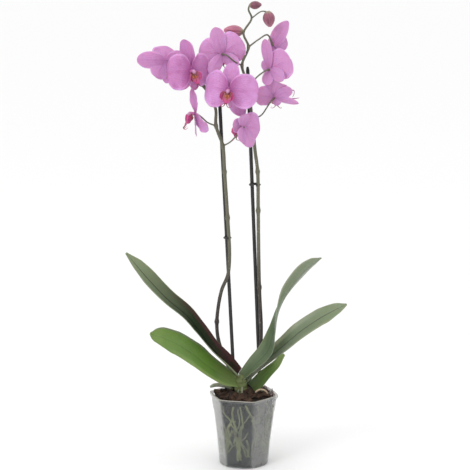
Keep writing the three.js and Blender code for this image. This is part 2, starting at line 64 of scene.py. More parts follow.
# Each station of a leaf: where its midrib runs, its half width, which way its upper face looks and
# how deep it is folded along the midrib.
LEAVES = {
    "leaf_1": [
        ((-12, -8, 154), 13.5, (0.66, -0.3, 0.7), 0.6), ((-32, -12, 178), 14, (0.6, -0.4, 0.7), 0.65),
        ((-54, -14, 202), 13, (0.6, -0.5, 0.62), 0.6), ((-76, -14, 232), 15, (0.62, -0.52, 0.55), 0.45),
        ((-97, -16, 258), 17, (0.6, -0.5, 0.6), 0.4), ((-126, -20, 284), 18, (0.55, -0.5, 0.65), 0.35),
        ((-156, -24, 317), 19, (0.55, -0.5, 0.65), 0.3), ((-177, -27, 343), 15, (0.55, -0.45, 0.65), 0.25),
        ((-194, -30, 365), 3, (0.55, -0.4, 0.65), 0.2)],
    "leaf_2": [
        ((-12, -8, 138), 12, (0.5, -0.5, 0.7), 0.5), ((-35, -17, 152), 20, (0.5, -0.55, 0.65), 0.3),
        ((-60, -28, 173), 23, (0.45, -0.55, 0.65), 0.18), ((-85, -38, 197), 26, (0.4, -0.55, 0.7), 0.12),
        ((-112, -46, 216), 26, (0.35, -0.55, 0.75), 0.1), ((-134, -52, 228), 22, (0.3, -0.55, 0.8), 0.1),
        ((-148, -55, 232), 13, (0.28, -0.55, 0.8), 0.08), ((-154, -57, 236), 3, (0.25, -0.55, 0.8), 0.05)],
    "leaf_3": [
        ((-1, -6, 147), 10, (-0.6, -0.5, 0.62), 0.6), ((21, -8, 172), 16, (-0.6, -0.55, 0.58), 0.45),
        ((42, -10, 197), 19, (-0.66, -0.52, 0.5), 0.35), ((50, -9, 228), 16, (-0.85, -0.3, 0.35), 0.3),
        ((58, -4, 265), 13, (-0.96, 0.05, 0.25), 0.3), ((75, 0, 297), 18, (-0.75, 0.5, 0.45), 0.3),
        ((98, 4, 326), 20, (-0.55, 0.6, 0.6), 0.25), ((117, 8, 342), 14, (-0.5, 0.6, 0.65), 0.2),
        ((129, 10, 350), 2, (-0.5, 0.5, 0.7), 0.1)],
    "leaf_4": [
        ((0, 0, 135), 9, (-0.6, -0.4, 0.7), 0.6), ((25, 2, 164), 13, (-0.5, -0.55, 0.68), 0.45),
        ((49, 2, 185), 14, (-0.42, -0.6, 0.7), 0.35), ((70, 1, 204), 16, (-0.42, -0.62, 0.66), 0.3),
        ((97, -2, 228), 18, (-0.4, -0.62, 0.66), 0.25), ((130, -6, 252), 18, (-0.36, -0.62, 0.7), 0.2),
        ((156, -9, 267), 12, (-0.3, -0.62, 0.72), 0.15), ((171, -10, 275), 2, (-0.25, -0.6, 0.75), 0.1)],
    "leaf_5": [
        ((16, -1, 128), 12, (-0.4, -0.8, 0.45), 0.4), ((29, -5, 144), 12, (-0.4, -0.8, 0.45), 0.3),
        ((41, -11, 159), 10, (-0.38, -0.8, 0.45), 0.2), ((53, -19, 173), 8, (-0.36, -0.8, 0.45), 0.15),
        ((61, -22, 185), 5.5, (-0.36, -0.8, 0.45), 0.1), ((67, -24, 193), 2.5, (-0.36, -0.8, 0.45), 0.1)],
}

# Each aerial root: its radius and the points it runs through.
ROOTS = {
    "aerial_root_1": (3.4, [(-20, 5, 124), (-28, 7, 130), (-40, 12, 131), (-50, 14, 130), (-57, 14, 127)]),
    "aerial_root_2": (1.5, [(20, -14, 112), (18, -16, 120), (21, -18, 128), (29, -19, 131.5), (37, -18, 128),
                            (40, -16, 120), (38, -14, 112)]),
    "aerial_root_3": (1.3, [(-9, -14, 130), (-11, -17, 122), (-10, -18, 112)]),
    "aerial_root_4": (1.3, [(-3, -14, 134), (-3, -18, 124), (-1, -19, 112)]),
}

# Each flower spike: its radii from foot to tip, its route, a stalk to each of its flowers, and the
# places of its swollen joints.
SPIKES = {
    "spike_left": {
        "radii": [3.4, 3.1, 3, 2.9, 2.7, 2.2, 1.6],
        "points": [(-13, 7, 137), (-30, 18, 172), (-42, 21, 203), (-45.5, 17, 233), (-43, 11, 266),
                   (-37, 9, 296), (-27, 8, 321), (-24, 7, 352), (-27, 6, 418), (-32, 6, 495), (-35, 5, 538),
                   (-46, 4, 571), (-47, 6, 600), (-66, 6, 636), (-84, 8, 659), (-105, 10, 675),
                   (-120, 7, 680)],
        "stalks": {"flower_9": [(-35, 5, 538), (-24, -8, 545), (-14, -22, 556)],
                   "flower_8": [(-46, 4, 571), (-60, 2, 577), (-70, 1, 586)],
                   "flower_2": [(-66, 6, 636), (-76, 0, 650), (-88, -6, 660)]},
        "joints": [(-45, 16, 240), (-27, 6, 418), (-32, 6, 495)],
    },
    "spike_right": {
        "radii": [3.4, 3.1, 3, 2.8, 2.3, 1.8, 1.3],
        "points": [(6, 9, 134), (14, 12, 152), (24, 12, 176), (28.5, 10, 205), (29, 9, 235), (26, 9, 295),
                   (24.5, 8, 360), (23.5, 7, 436), (22.5, 7, 495), (18, 8, 531), (13, 9, 582), (10, 9, 613),
                   (8, 8, 636), (-3.5, 6, 669.5), (7, 7, 699.5), (-1, 8, 722), (12, 8, 746), (7, 7, 760),
                   (9, 6, 768)],
        "stalks": {"flower_7": [(13, 9, 582), (28, 9, 588), (38, 8, 602), (44, 8, 611)],
                   "flower_4": [(10, 9, 613), (-4, 0, 622), (-18, -12, 630)],
                   "flower_6": [(8, 8, 636), (22, 4, 652), (36, 2, 662)],
                   "flower_3": [(-3.5, 6, 669.5), (-16, -4, 677), (-28, -8, 687)],
                   "flower_5": [(7, 7, 699.5), (24, 10, 712), (38, 14, 719)]},
        "joints": [(26, 9, 300), (23.5, 7, 430), (22.5, 7, 495)],
    },
}

# Each bud: which way it points, its size, where its stalk leaves the spike and what it arches over.
BUDS = {
    "bud_1": {"toward": (-1, 0.3, 0.08), "length": 33, "radius": 10.5, "from": (-1, 8, 722)},
    "bud_2": {"toward": (0.15, 0, -1), "length": 26, "radius": 10.6, "from": (12, 8, 746),
              "over": (28, 7, 757)},
    "bud_3": {"toward": (1, 0, 0.05), "length": 20, "radius": 7, "from": (9, 6, 768)},
}

# How light each bud is, as a factor on the common bud colour.
BUD_TINT = {"bud_1": 1.6, "bud_2": 1.1, "bud_3": 0.75}

# Every tepal: turn around the face, length, half width, lift out of the face, curl along its length,
# sway sideways, roll about its own midrib, taper towards its tip and cup of its edges.
PLAIN = {"lift": -8, "curl": -14, "sway": 0, "roll": 0, "taper": 0, "cup": 0.12}

# How far a flower's colour leans towards the deeper heart colour.
FLOWER_DEPTH = {"flower_2": 0.75, "flower_8": 0.3, "flower_9": 0.45, "flower_6": 0.1}

# Where the parts of a flower start along the line out of its face.
STARTS = {"sepals": -1.6, "petals": 1.4, "lip": 3.4, "stalk": -2.4}

FLOWERS = {
    "flower_1": {"at": (-128, 12, 678), "yaw": 195, "pitch": 0, "roll": 0,
        "dorsal": {"turn": 2, "length": 50, "half": 14, "lift": 0},
        "petals": [{"turn": 102, "length": 27, "half": 23, "lift": 40},
                   {"turn": -55, "length": 34, "half": 17}],
        "sepals": [{"turn": -92, "length": 38, "half": 9, "lift": 8},
                   {"turn": 160, "length": 30, "half": 10, "lift": 0}]},
    "flower_2": {"at": (-87, -18, 662), "yaw": 38, "pitch": -5, "roll": 10,
        "dorsal": {"turn": 87, "length": 52, "half": 15},
        "petals": [{"turn": 172, "length": 42, "half": 30, "lift": -12},
                   {"turn": -2, "length": 37, "half": 27, "lift": 4}],
        "sepals": [{"turn": 240, "length": 34, "half": 13}, {"turn": 298, "length": 42, "half": 12}]},
    "flower_3": {"at": (-36, 9, 688), "yaw": 178, "pitch": 0, "roll": 0,
        "dorsal": {"turn": 76, "length": 47, "half": 13},
        "petals": [{"turn": 146, "length": 42, "half": 26},
                   {"turn": 8, "length": 39, "half": 24, "lift": 12}],
        "sepals": [{"turn": -58, "length": 38, "half": 11}, {"turn": 215, "length": 34, "half": 11}]},
    "flower_4": {"at": (-25, -24, 631), "yaw": -10, "pitch": -4, "roll": -6,
        "dorsal": {"turn": 89, "length": 46, "half": 14},
        "petals": [{"turn": 178, "length": 41, "half": 31}, {"turn": 4, "length": 49, "half": 29}],
        "sepals": [{"turn": 222, "length": 40, "half": 13, "lift": -14},
                   {"turn": 302, "length": 50, "half": 13}]},
    "flower_5": {"at": (47.5, 24, 701), "yaw": 165, "pitch": 0, "roll": 0,
        "dorsal": {"turn": 113, "length": 48, "half": 17, "lift": 10, "curl": -20, "sway": 18, "taper": 0.5},
        "petals": [{"turn": 150, "length": 30, "half": 15, "lift": 55},
                   {"turn": 30, "length": 26, "half": 13, "lift": 60}],
        "sepals": [{"turn": 290, "length": 28, "half": 6, "lift": 30},
                   {"turn": 225, "length": 26, "half": 8, "lift": 50}]},
    "flower_6": {"at": (41.5, 8, 663), "yaw": 160, "pitch": 0, "roll": 0,
        "dorsal": {"turn": 86, "length": 52, "half": 9, "roll": 24},
        "petals": [{"turn": 155, "length": 45, "half": 26},
                   {"turn": 40, "length": 22, "half": 10, "lift": 30}],
        "sepals": [{"turn": 208, "length": 32, "half": 11, "lift": -4},
                   {"turn": 280, "length": 26, "half": 10, "lift": 0}]},
    "flower_7": {"at": (50, 19, 616), "yaw": 170, "pitch": 15, "roll": 0,
        "dorsal": {"turn": 148, "length": 38, "half": 10},
        "petals": [{"turn": 106, "length": 32, "half": 20}, {"turn": 12, "length": 32, "half": 18}],
        "sepals": [{"turn": 186, "length": 44, "half": 7, "taper": 0.3},
                   {"turn": 228, "length": 14, "half": 8}]},
    "flower_8": {"at": (-80, 0, 591), "yaw": -80, "pitch": 0, "roll": 0,
        "dorsal": {"turn": 92, "length": 42, "half": 14, "lift": 4, "curl": 12, "roll": 60, "taper": 0.6},
        "petals": [{"turn": 225, "length": 34, "half": 15, "lift": -25},
                   {"turn": -50, "length": 38, "half": 17, "lift": -25}],
        "sepals": [{"turn": 262, "length": 38, "half": 8, "lift": 5},
                   {"turn": 150, "length": 30, "half": 10, "lift": -5}]},
    "flower_9": {"at": (-2, -24, 573), "yaw": 222, "pitch": 0, "roll": 0,
        "dorsal": {"turn": 88, "length": 22, "half": 12},
        "petals": [{"turn": 192, "length": 33, "half": 26},
                   {"turn": 10, "length": 18, "half": 12, "lift": 20}],
        "sepals": [{"turn": 253, "length": 36, "half": 15}, {"turn": 290, "length": 28, "half": 11}]},
}

# The thin curled ends beside flower_7.
TENDRILS = [
    [(70, 19, 616), (75.5, 19, 624), (77.5, 19, 628), (82, 18, 628), (82, 18, 622), (79.6, 18, 617)],
    [(72, 19, 615), (82, 19, 614.5), (91, 18, 616)],
]

# ---------------------------------------------------------------- curves


def curve_point(points, place):
    """A point on a centripetal Catmull-Rom curve; place runs from 0 to 1, equal for every span."""
    points = np.asarray(points, dtype=float)
    last = len(points) - 1
    span = min(int(place * last), last - 1)
    part = place * last - span
    here, there = points[span], points[span + 1]
    before = points[span - 1] if span > 0 else 2 * points[0] - points[1]
    after = points[span + 2] if span + 2 <= last else 2 * points[last] - points[last - 1]
    pairs = ((before, here), (here, there), (there, after))
    first, middle, third = [max(np.dot(b - a, b - a) ** 0.25, 1e-4) for a, b in pairs]
    slope = (there - here) / middle
    leave = ((here - before) / first - (there - before) / (first + middle) + slope) * middle
    arrive = (slope - (after - here) / (middle + third) + (after - there) / third) * middle
    square = -3 * here + 3 * there - 2 * leave - arrive
    cube = 2 * here - 2 * there + leave + arrive
    return here + leave * part + square * part ** 2 + cube * part ** 3


def curve_points(points, count):
    """Points along the whole curve, one at each end of every one of the count steps."""
    return np.array([curve_point(points, k / count) for k in range(count + 1)])


def unit(vector):
    return vector / max(np.linalg.norm(vector), 1e-12)


def smooth(low, high, value):
    """Rises softly from 0 at low to 1 at high, or falls where high is the lower number."""
    part = np.clip((value - low) / (high - low), 0, 1)
    return part * part * (3 - 2 * part)


# ---------------------------------------------------------------- mesh building


class Skin:
    """Gathers the points, faces and point values of one piece before it becomes a mesh."""

    def __init__(self):
        self.points = []
        self.faces = []
        self.values = {}

    def add(self, points, faces, values):
        """Adds a closed part, turned so that its faces point outwards."""
        points = np.asarray(points, dtype=float)
        volume = 0.0
        for face in faces:
            for second, third in zip(face[1:-1], face[2:]):
                volume += float(np.dot(points[face[0]], np.cross(points[second], points[third])))
        start = len(self.points)
        for face in faces:
            ordered = face if volume > 0 else face[::-1]
            self.faces.append([start + corner for corner in ordered])
        self.points.extend(points.tolist())
        for key, numbers in values.items():
            self.values.setdefault(key, []).extend(numbers)

    def add_rings(self, rings, values):
        """Skins rings of points from end to end and closes both ends with a fan."""
        rings = np.asarray(rings, dtype=float)
        count, sides = rings.shape[:2]
        points = rings.reshape(-1, 3).tolist()
        values = {key: list(np.asarray(numbers, dtype=float).reshape(-1)) for key, numbers in values.items()}
        faces = []
        for row in range(count - 1):
            for side in range(sides):
                beside = (side + 1) % sides
                faces.append([row * sides + side, row * sides + beside,
                              (row + 1) * sides + beside, (row + 1) * sides + side])
        for row, flip in ((0, True), (count - 1, False)):
            middle = len(points)
            points.append(rings[row].mean(axis=0).tolist())
            for numbers in values.values():
                numbers.append(numbers[row * sides])
            for side in range(sides):
                edge = [row * sides + side, row * sides + (side + 1) % sides]
                faces.append((edge[::-1] if flip else edge) + [middle])
        self.add(points, faces, values)

    def build(self, name, material):
        """Makes the mesh object in metres, with the gathered values as point attributes."""
        mesh = bpy.data.meshes.new(name)
        mesh.from_pydata([tuple(MM * c for c in point) for point in self.points], [], self.faces)
        for key, numbers in self.values.items():
            layer = mesh.attributes.new(key, "FLOAT", "POINT")
            layer.data.foreach_set("value", numbers)
        mesh.shade_smooth()
        mesh.materials.append(material)
        piece = bpy.data.objects.new(name, mesh)
        bpy.context.scene.collection.objects.link(piece)
        return piece


def finish_piece(piece, slot, *nodes):
    """Hangs the piece on its body and hides the solids it stands for; the slot, which finish it takes, is not
    used.
    """
    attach(piece, BODY)
    if nodes:
        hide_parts(*nodes)


def tube_rings(points, radii, sides):
    """Rings around a row of points, carried along it without twisting."""
    rings = []
    side = None
    for index, centre in enumerate(points):
        along = unit(points[min(index + 1, len(points) - 1)] - points[max(index - 1, 0)])
        if side is None:
            side = unit(np.cross((0, 1, 0), along))
        side = unit(side - along * np.dot(side, along))
        across = np.cross(along, side)
        ring = []
        for k in range(sides):
            angle = 2 * math.pi * k / sides
            ring.append(centre + radii[index] * (math.cos(angle) * side + math.sin(angle) * across))
        rings.append(ring)
    return rings


def blade_rings(centres, acrosses, normals, halves, rises, thicks, columns):
    """Rings around a thin blade: its upper face, then back along its lower one."""
    rows = len(centres)
    spread = np.sin(np.linspace(-math.pi / 2, math.pi / 2, columns + 1))
    spread = 0.5 * spread + 0.5 * np.linspace(-1, 1, columns + 1)
    rings, across_values, under_values = [], [], []
    for row in range(rows):
        rise = rises(row, spread)
        thick = thicks(row, spread)
        base = centres[row] + np.outer(spread * halves[row], acrosses[row]) + np.outer(rise, normals[row])
        upper = base + np.outer(thick / 2, normals[row])
        lower = base - np.outer(thick / 2, normals[row])
        rings.append(np.concatenate([upper, lower[-2:0:-1]]))
        across_values.append(np.concatenate([spread, spread[-2:0:-1]]))
        under_values.append(np.concatenate([np.zeros(columns + 1), np.ones(columns - 1)]))
    return np.array(rings), np.array(across_values), np.array(under_values)


# ---------------------------------------------------------------- node helpers


class Nodes:
    """Short ways to add and join nodes in one tree."""

    def __init__(self, tree):
        self.tree = tree

    def add(self, kind, inputs=None, **settings):
        node = self.tree.nodes.new(kind)
        for key, value in settings.items():
            setattr(node, key, value)
        for key, value in (inputs or {}).items():
            self.put(node.inputs[key], value)
        return node

    def put(self, socket, value):
        if isinstance(value, bpy.types.NodeSocket):
            self.tree.links.new(value, socket)
        else:
            socket.default_value = value

    def math(self, operation, first, second=0.0, third=0.0, clamp=False):
        node = self.add("ShaderNodeMath", operation=operation, use_clamp=clamp)
        for socket, value in zip(node.inputs, (first, second, third)):
            self.put(socket, value)
        return node.outputs[0]

    def mix(self, factor, first, second, blend="MIX"):
        node = self.add("ShaderNodeMix", data_type="RGBA", blend_type=blend)
        self.put(node.inputs["Factor"], factor)
        self.put(node.inputs[6], first)
        self.put(node.inputs[7], second)
        return node.outputs[2]

    def ramp(self, value, low, high, start=0.0, end=1.0):
        node = self.add("ShaderNodeMapRange", interpolation_type="SMOOTHSTEP")
        for socket, number in zip(node.inputs, (value, low, high, start, end)):
            self.put(socket, number)
        return node.outputs[0]

    def attribute(self, name):
        return self.add("ShaderNodeAttribute", attribute_name=name).outputs["Fac"]

    def noise(self, vector, scale, detail=3.0, roughness=0.5):
        node = self.add("ShaderNodeTexNoise", {"Scale": scale, "Detail": detail, "Roughness": roughness})
        self.put(node.inputs["Vector"], vector)
        return node.outputs["Fac"]

    def object_coordinates(self, stretch=(1.0, 1.0, 1.0)):
        place = self.add("ShaderNodeTexCoord").outputs["Object"]
        mapping = self.add("ShaderNodeMapping", {"Scale": stretch})
        self.put(mapping.inputs["Vector"], place)
        return mapping.outputs[0]

    def combine(self, x, y, z):
        node = self.add("ShaderNodeCombineXYZ")
        for socket, value in zip(node.inputs, (x, y, z)):
            self.put(socket, value)
        return node.outputs[0]


def new_group(name, inputs, outputs):
    """A shader node group with named inputs and outputs, built once."""
    tree = bpy.data.node_groups.new(name, "ShaderNodeTree")
    for label, kind, default in inputs:
        socket = tree.interface.new_socket(label, in_out="INPUT", socket_type=kind)
        socket.default_value = default
    for label, kind in outputs:
        tree.interface.new_socket(label, in_out="OUTPUT", socket_type=kind)
    nodes = Nodes(tree)
    return nodes, tree.nodes.new("NodeGroupInput"), tree.nodes.new("NodeGroupOutput")


FLOAT, COLOUR = "NodeSocketFloat", "NodeSocketColor"


def mottle_group():
    """Slow and fine colour variation, as on living tissue and bark."""
    if "Mottle" in bpy.data.node_groups:
        return bpy.data.node_groups["Mottle"]
    nodes, given, result = new_group(
        "Mottle",
        [("Colour", COLOUR, (0.5, 0.5, 0.5, 1)), ("Dark", COLOUR, (0.2, 0.2, 0.2, 1)), ("Size", FLOAT, 60.0),
         ("Amount", FLOAT, 0.5)],
        [("Colour", COLOUR), ("Fine", FLOAT)])
    place = nodes.object_coordinates()
    broad = nodes.noise(place, given.outputs["Size"], 4.0, 0.6)
    fine = nodes.noise(place, nodes.math("MULTIPLY", given.outputs["Size"], 9.0), 3.0, 0.6)
    mask = nodes.math("MULTIPLY", nodes.ramp(broad, 0.35, 0.7), given.outputs["Amount"])
    nodes.put(result.inputs["Colour"], nodes.mix(mask, given.outputs["Colour"], given.outputs["Dark"]))
    nodes.put(result.inputs["Fine"], fine)
    return nodes.tree


def vein_group():
    """Lines that run along a blade and fan out with it, softly broken."""
    if "Veins" in bpy.data.node_groups:
        return bpy.data.node_groups["Veins"]
    nodes, given, result = new_group(
        "Veins",
        [("Count", FLOAT, 12.0), ("Width", FLOAT, 0.2), ("Wander", FLOAT, 0.4)],
        [("Lines", FLOAT), ("Net", FLOAT)])
    across, along = nodes.attribute("across"), nodes.attribute("along")
    spread = nodes.combine(nodes.math("MULTIPLY", across, 3.0), nodes.math("MULTIPLY", along, 5.0), 0.0)
    sway = nodes.noise(spread, 1.6, 3.0, 0.55)
    shift = nodes.math("MULTIPLY", nodes.math("SUBTRACT", sway, 0.5), given.outputs["Wander"])
    lines = nodes.math("MULTIPLY", nodes.math("ADD", across, shift), given.outputs["Count"])
    distance = nodes.math("ABSOLUTE", nodes.math("SUBTRACT", nodes.math("FRACT", lines), 0.5))
    nodes.put(result.inputs["Lines"], nodes.ramp(distance, given.outputs["Width"], 0.0))
    cells = nodes.add("ShaderNodeTexVoronoi", {"Scale": 9.0}, feature="DISTANCE_TO_EDGE")
    nodes.put(cells.inputs["Vector"], nodes.combine(nodes.math("MULTIPLY", across, 2.2), along, 0.0))
    nodes.put(result.inputs["Net"], nodes.ramp(cells.outputs["Distance"], 0.06, 0.0))
    return nodes.tree


def new_material(name, roughness=0.5, **shader):
    material = bpy.data.materials.new(name)
    material.use_nodes = True
    nodes = Nodes(material.node_tree)
    principled = material.node_tree.nodes["Principled BSDF"]
    principled.inputs["Roughness"].default_value = roughness
    for key, value in shader.items():
        principled.inputs[key.replace("_", " ")].default_value = value
    return material, nodes, principled


def add_group(nodes, tree, **inputs):
    node = nodes.add("ShaderNodeGroup", node_tree=tree)
    for key, value in inputs.items():
        nodes.put(node.inputs[key], value)
    return node


def add_bump(nodes, shader, height, strength, distance):
    bump = nodes.add("ShaderNodeBump", {"Strength": strength, "Distance": distance})
    nodes.put(bump.inputs["Height"], height)
    nodes.put(shader.inputs["Normal"], bump.outputs["Normal"])


def rgb(colour):
    return (*colour[:3], 1.0)


# ---------------------------------------------------------------- materials


def petal_material(name, main, heart, back, veins):
    """Soft lilac tissue: deeper towards the heart, veined, paler on its rim where a highlight is painted."""
    material, nodes, shader = new_material(name, 0.5, Subsurface_Weight=0.2, Subsurface_Scale=0.003,
                                           Sheen_Weight=0.15, Sheen_Roughness=0.4, Specular_IOR_Level=0.3)
    along, across, under, depth = (nodes.attribute(key) for key in ("along", "across", "under", "depth"))
    pattern = add_group(nodes, vein_group(), Count=veins, Width=0.26, Wander=0.35)
    colour = nodes.mix(nodes.ramp(along, 0.0, 0.5), rgb(heart), rgb(main))
    place = nodes.object_coordinates()
    cloud = nodes.noise(place, 60.0, 3.0, 0.6)
    fine = nodes.noise(place, 420.0, 2.0, 0.6)
    clouded = nodes.math("ADD", nodes.math("MULTIPLY", nodes.ramp(cloud, 0.42, 0.7), 0.28),
                         nodes.math("MULTIPLY", depth, 0.42))
    colour = nodes.mix(clouded, colour, rgb(heart))
    colour = nodes.mix(nodes.math("MULTIPLY", under, 0.5), colour, rgb(back))
    middle = nodes.ramp(nodes.math("ABSOLUTE", across), 0.16, 0.0, 0.0, 0.26)
    colour = nodes.mix(nodes.math("MULTIPLY", middle, nodes.ramp(along, 1.0, 0.35)), colour, rgb(heart))
    fade = nodes.ramp(along, 1.0, 0.25, 0.08, 0.4)
    lines = nodes.math("MULTIPLY", pattern.outputs["Lines"], fade)
    net = nodes.math("MULTIPLY", pattern.outputs["Net"], 0.12)
    colour = nodes.mix(nodes.math("MAXIMUM", lines, net), colour, rgb([0.8 * c for c in heart[:3]]))
    # Painted highlight: the rim of each tepal is lightened as if light caught its edge.
    rim = nodes.ramp(nodes.math("ABSOLUTE", across), 0.8, 1.0, 0.0, 0.6)
    colour = nodes.mix(rim, colour, rgb([min(1, c * 1.2 + 0.06) for c in main[:3]]))
    nodes.put(shader.inputs["Base Color"], colour)
    height = nodes.math("ADD", nodes.math("MULTIPLY", pattern.outputs["Lines"], -0.5),
                        nodes.math("ADD", cloud, nodes.math("MULTIPLY", fine, 0.25)))
    add_bump(nodes, shader, height, 0.6, 0.0008)
    return material


def lip_material():
    """Waxy magenta lip with pale stripes in its throat and a speckled orange crest."""
    material, nodes, shader = new_material("Lip_tissue", 0.4, Subsurface_Weight=0.15, Subsurface_Scale=0.003,
                                           Coat_Weight=0.2, Coat_Roughness=0.3)
    settings = bpy.context.scene.orchid_flowers
    along, across, crest = (nodes.attribute(key) for key in ("along", "across", "crest"))
    stripes = add_group(nodes, vein_group(), Count=5.0, Width=0.3, Wander=0.3)
    colour = nodes.mix(nodes.ramp(along, 0.15, 0.9), rgb(settings.lip_dark), rgb(settings.lip_colour))
    pale = nodes.math("MULTIPLY", stripes.outputs["Lines"], nodes.ramp(along, 0.85, 0.3, 0.0, 0.85))
    colour = nodes.mix(pale, colour, (0.75, 0.42, 0.3, 1))
    edge = nodes.ramp(nodes.math("ABSOLUTE", across), 0.8, 1.0, 0.0, 0.4)
    colour = nodes.mix(edge, colour, (0.75, 0.25, 0.5, 1))
    speckle = nodes.ramp(nodes.noise(nodes.object_coordinates(), 700.0, 2.0, 0.6), 0.46, 0.58)
    warts = nodes.mix(nodes.math("MULTIPLY", speckle, 0.8), (0.5, 0.17, 0.06, 1), (0.24, 0.015, 0.03, 1))
    colour = nodes.mix(crest, colour, warts)
    nodes.put(shader.inputs["Base Color"], colour)
    add_bump(nodes, shader, stripes.outputs["Lines"], 0.4, 0.0004)
    return material


def column_material():
    """Pink column, paler towards its cap, with small darker spots."""
    material, nodes, shader = new_material("Column_tissue", 0.45, Subsurface_Weight=0.1,
                                           Subsurface_Scale=0.003)
    along = nodes.attribute("along")
    colour = nodes.mix(nodes.ramp(along, 0.2, 0.8), (0.5, 0.14, 0.35, 1), (0.55, 0.27, 0.46, 1))
    spots = nodes.noise(nodes.object_coordinates(), 700.0, 2.0, 0.5)
    colour = nodes.mix(nodes.ramp(spots, 0.6, 0.7, 0.0, 0.3), colour, (0.6, 0.15, 0.3, 1))
    nodes.put(shader.inputs["Base Color"], colour)
    add_bump(nodes, shader, spots, 0.3, 0.0003)
    return material


def leaf_material(name, upper, pale, base_blush, sheen_strip, midrib_shade, gloss):
    """Waxy strap leaf: fine lengthwise ribs with painted sheen, painted shade in its sunk midrib and towards
    its base, a paler back, a flushed base and a pale strip of painted sheen.
    """
    material, nodes, shader = new_material(
        name, 0.36, Specular_IOR_Level=gloss, Coat_Weight=0.4 * gloss, Coat_Roughness=0.25,
        Subsurface_Weight=0.06, Subsurface_Scale=0.004)
    along, across, under = (nodes.attribute(key) for key in ("along", "across", "under"))
    rows = nodes.combine(nodes.math("MULTIPLY", across, 34.0), nodes.math("MULTIPLY", along, 3.0), under)
    ribs = nodes.noise(rows, 1.0, 2.0, 0.5)
    mottle = add_group(nodes, mottle_group(), Colour=rgb(upper), Dark=rgb([0.6 * c for c in upper]),
                       Size=26.0, Amount=0.55)
    # Painted sheen: a pale colour over the ribs, stronger towards the tip, stands in for light glancing off
    # the waxy leaf.
    painted_sheen = nodes.math("MULTIPLY", nodes.ramp(ribs, 0.35, 0.75, 0.0, gloss),
                       nodes.ramp(along, 0.15, 0.9, 0.1, 1.0))
    colour = nodes.mix(painted_sheen, mottle.outputs["Colour"], rgb(pale))
    # Painted shade and light: the leaf is darker towards its base, where its folded lower half lies in shade,
    # and paler towards its tip.
    colour = nodes.mix(nodes.ramp(along, 0.4, 1.0, 0.0, 0.85), colour, rgb(pale))
    colour = nodes.mix(nodes.math("MULTIPLY", under, 0.6), colour, rgb([0.85 * c for c in pale]))
    # Painted shade: the groove of the sunk midrib is darkened as if shadow lay in it, by each leaf's own
    # amount.
    middle = nodes.ramp(nodes.math("ABSOLUTE", across), 0.09, 0.015)
    colour = nodes.mix(nodes.math("MULTIPLY", middle, midrib_shade), colour, rgb([0.35 * c for c in upper]))
    margin = nodes.ramp(nodes.math("ABSOLUTE", across), 0.93, 1.0, 0.0, 0.6)
    colour = nodes.mix(margin, colour, rgb([min(1, 1.5 * c + 0.03) for c in pale]))
    flush = nodes.math("MULTIPLY", nodes.ramp(along, 0.34, 0.04), base_blush[3])
    patches = nodes.noise(nodes.object_coordinates(), 40.0)
    flush = nodes.math("MULTIPLY", flush, nodes.ramp(patches, 0.3, 0.6))
    colour = nodes.mix(flush, colour, rgb(base_blush))
    side, width, sheen_strip_colour = sheen_strip
    reach = nodes.math("MULTIPLY", across, side)
    far_edge = nodes.math("MULTIPLY", nodes.ramp(reach, -0.5, -0.75), nodes.ramp(along, 0.75, 0.35))
    colour = nodes.mix(nodes.math("MULTIPLY", far_edge, 0.7 * base_blush[3]), colour,
                       rgb([1.5 * c for c in base_blush[:3]]))
    # Painted sheen: a pale band along one edge of the leaf stands in for light caught on that edge.
    beside = nodes.math("MULTIPLY", nodes.ramp(reach, 1.0 - width, 1.12 - width), 0.8)
    colour = nodes.mix(beside, colour, rgb(sheen_strip_colour))
    nodes.put(shader.inputs["Base Color"], colour)
    nodes.put(shader.inputs["Roughness"], nodes.ramp(mottle.outputs["Fine"], 0.3, 0.7, 0.3, 0.46))
    height = nodes.math("SUBTRACT", ribs, nodes.math("MULTIPLY", middle, 1.2))
    add_bump(nodes, shader, height, 0.35, 0.0006)
    return material


def stem_material():
    """Olive flower stem, dark and brown low down, with lengthwise streaks and small pale dots."""
    settings = bpy.context.scene.orchid_stems
    material, nodes, shader = new_material("Spike_skin", 0.42, Specular_IOR_Level=0.4, Coat_Weight=0.1)
    height = nodes.add("ShaderNodeSeparateXYZ")
    nodes.put(height.inputs[0], nodes.add("ShaderNodeTexCoord").outputs["Object"])
    low = nodes.ramp(height.outputs["Z"], 0.25, 0.4)
    colour = nodes.mix(low, rgb(settings.low_colour), rgb(settings.colour))
    streaks = nodes.noise(nodes.object_coordinates((1.0, 1.0, 0.06)), 900.0, 3.0, 0.6)
    streak_colour = rgb([0.6 * c for c in settings.colour])
    colour = nodes.mix(nodes.ramp(streaks, 0.4, 0.75, 0.0, 0.5), colour, streak_colour)
    dots = nodes.noise(nodes.object_coordinates(), 520.0, 1.0, 0.4)
    colour = nodes.mix(nodes.ramp(dots, 0.66, 0.74, 0.0, 0.5), colour, (0.42, 0.4, 0.26, 1))
    nodes.put(shader.inputs["Base Color"], colour)
    add_bump(nodes, shader, streaks, 0.4, 0.0004)
    return material


def root_material(name, skin, tip):
    """Papery silver-green root skin with darker damp patches."""
    material, nodes, shader = new_material(name, 0.72, Subsurface_Weight=0.1, Subsurface_Scale=0.003)
    mottle = add_group(nodes, mottle_group(), Colour=rgb(skin), Dark=rgb(tip), Size=85.0, Amount=0.8)
    grain = nodes.noise(nodes.object_coordinates(), 1300.0, 2.0, 0.7)
    colour = nodes.mix(nodes.ramp(grain, 0.45, 0.75, 0.0, 0.35), mottle.outputs["Colour"],
                       rgb([min(1, 1.35 * c + 0.05) for c in skin]))
    nodes.put(shader.inputs["Base Color"], colour)
    add_bump(nodes, shader, mottle.outputs["Fine"], 0.5, 0.0005)
    return material


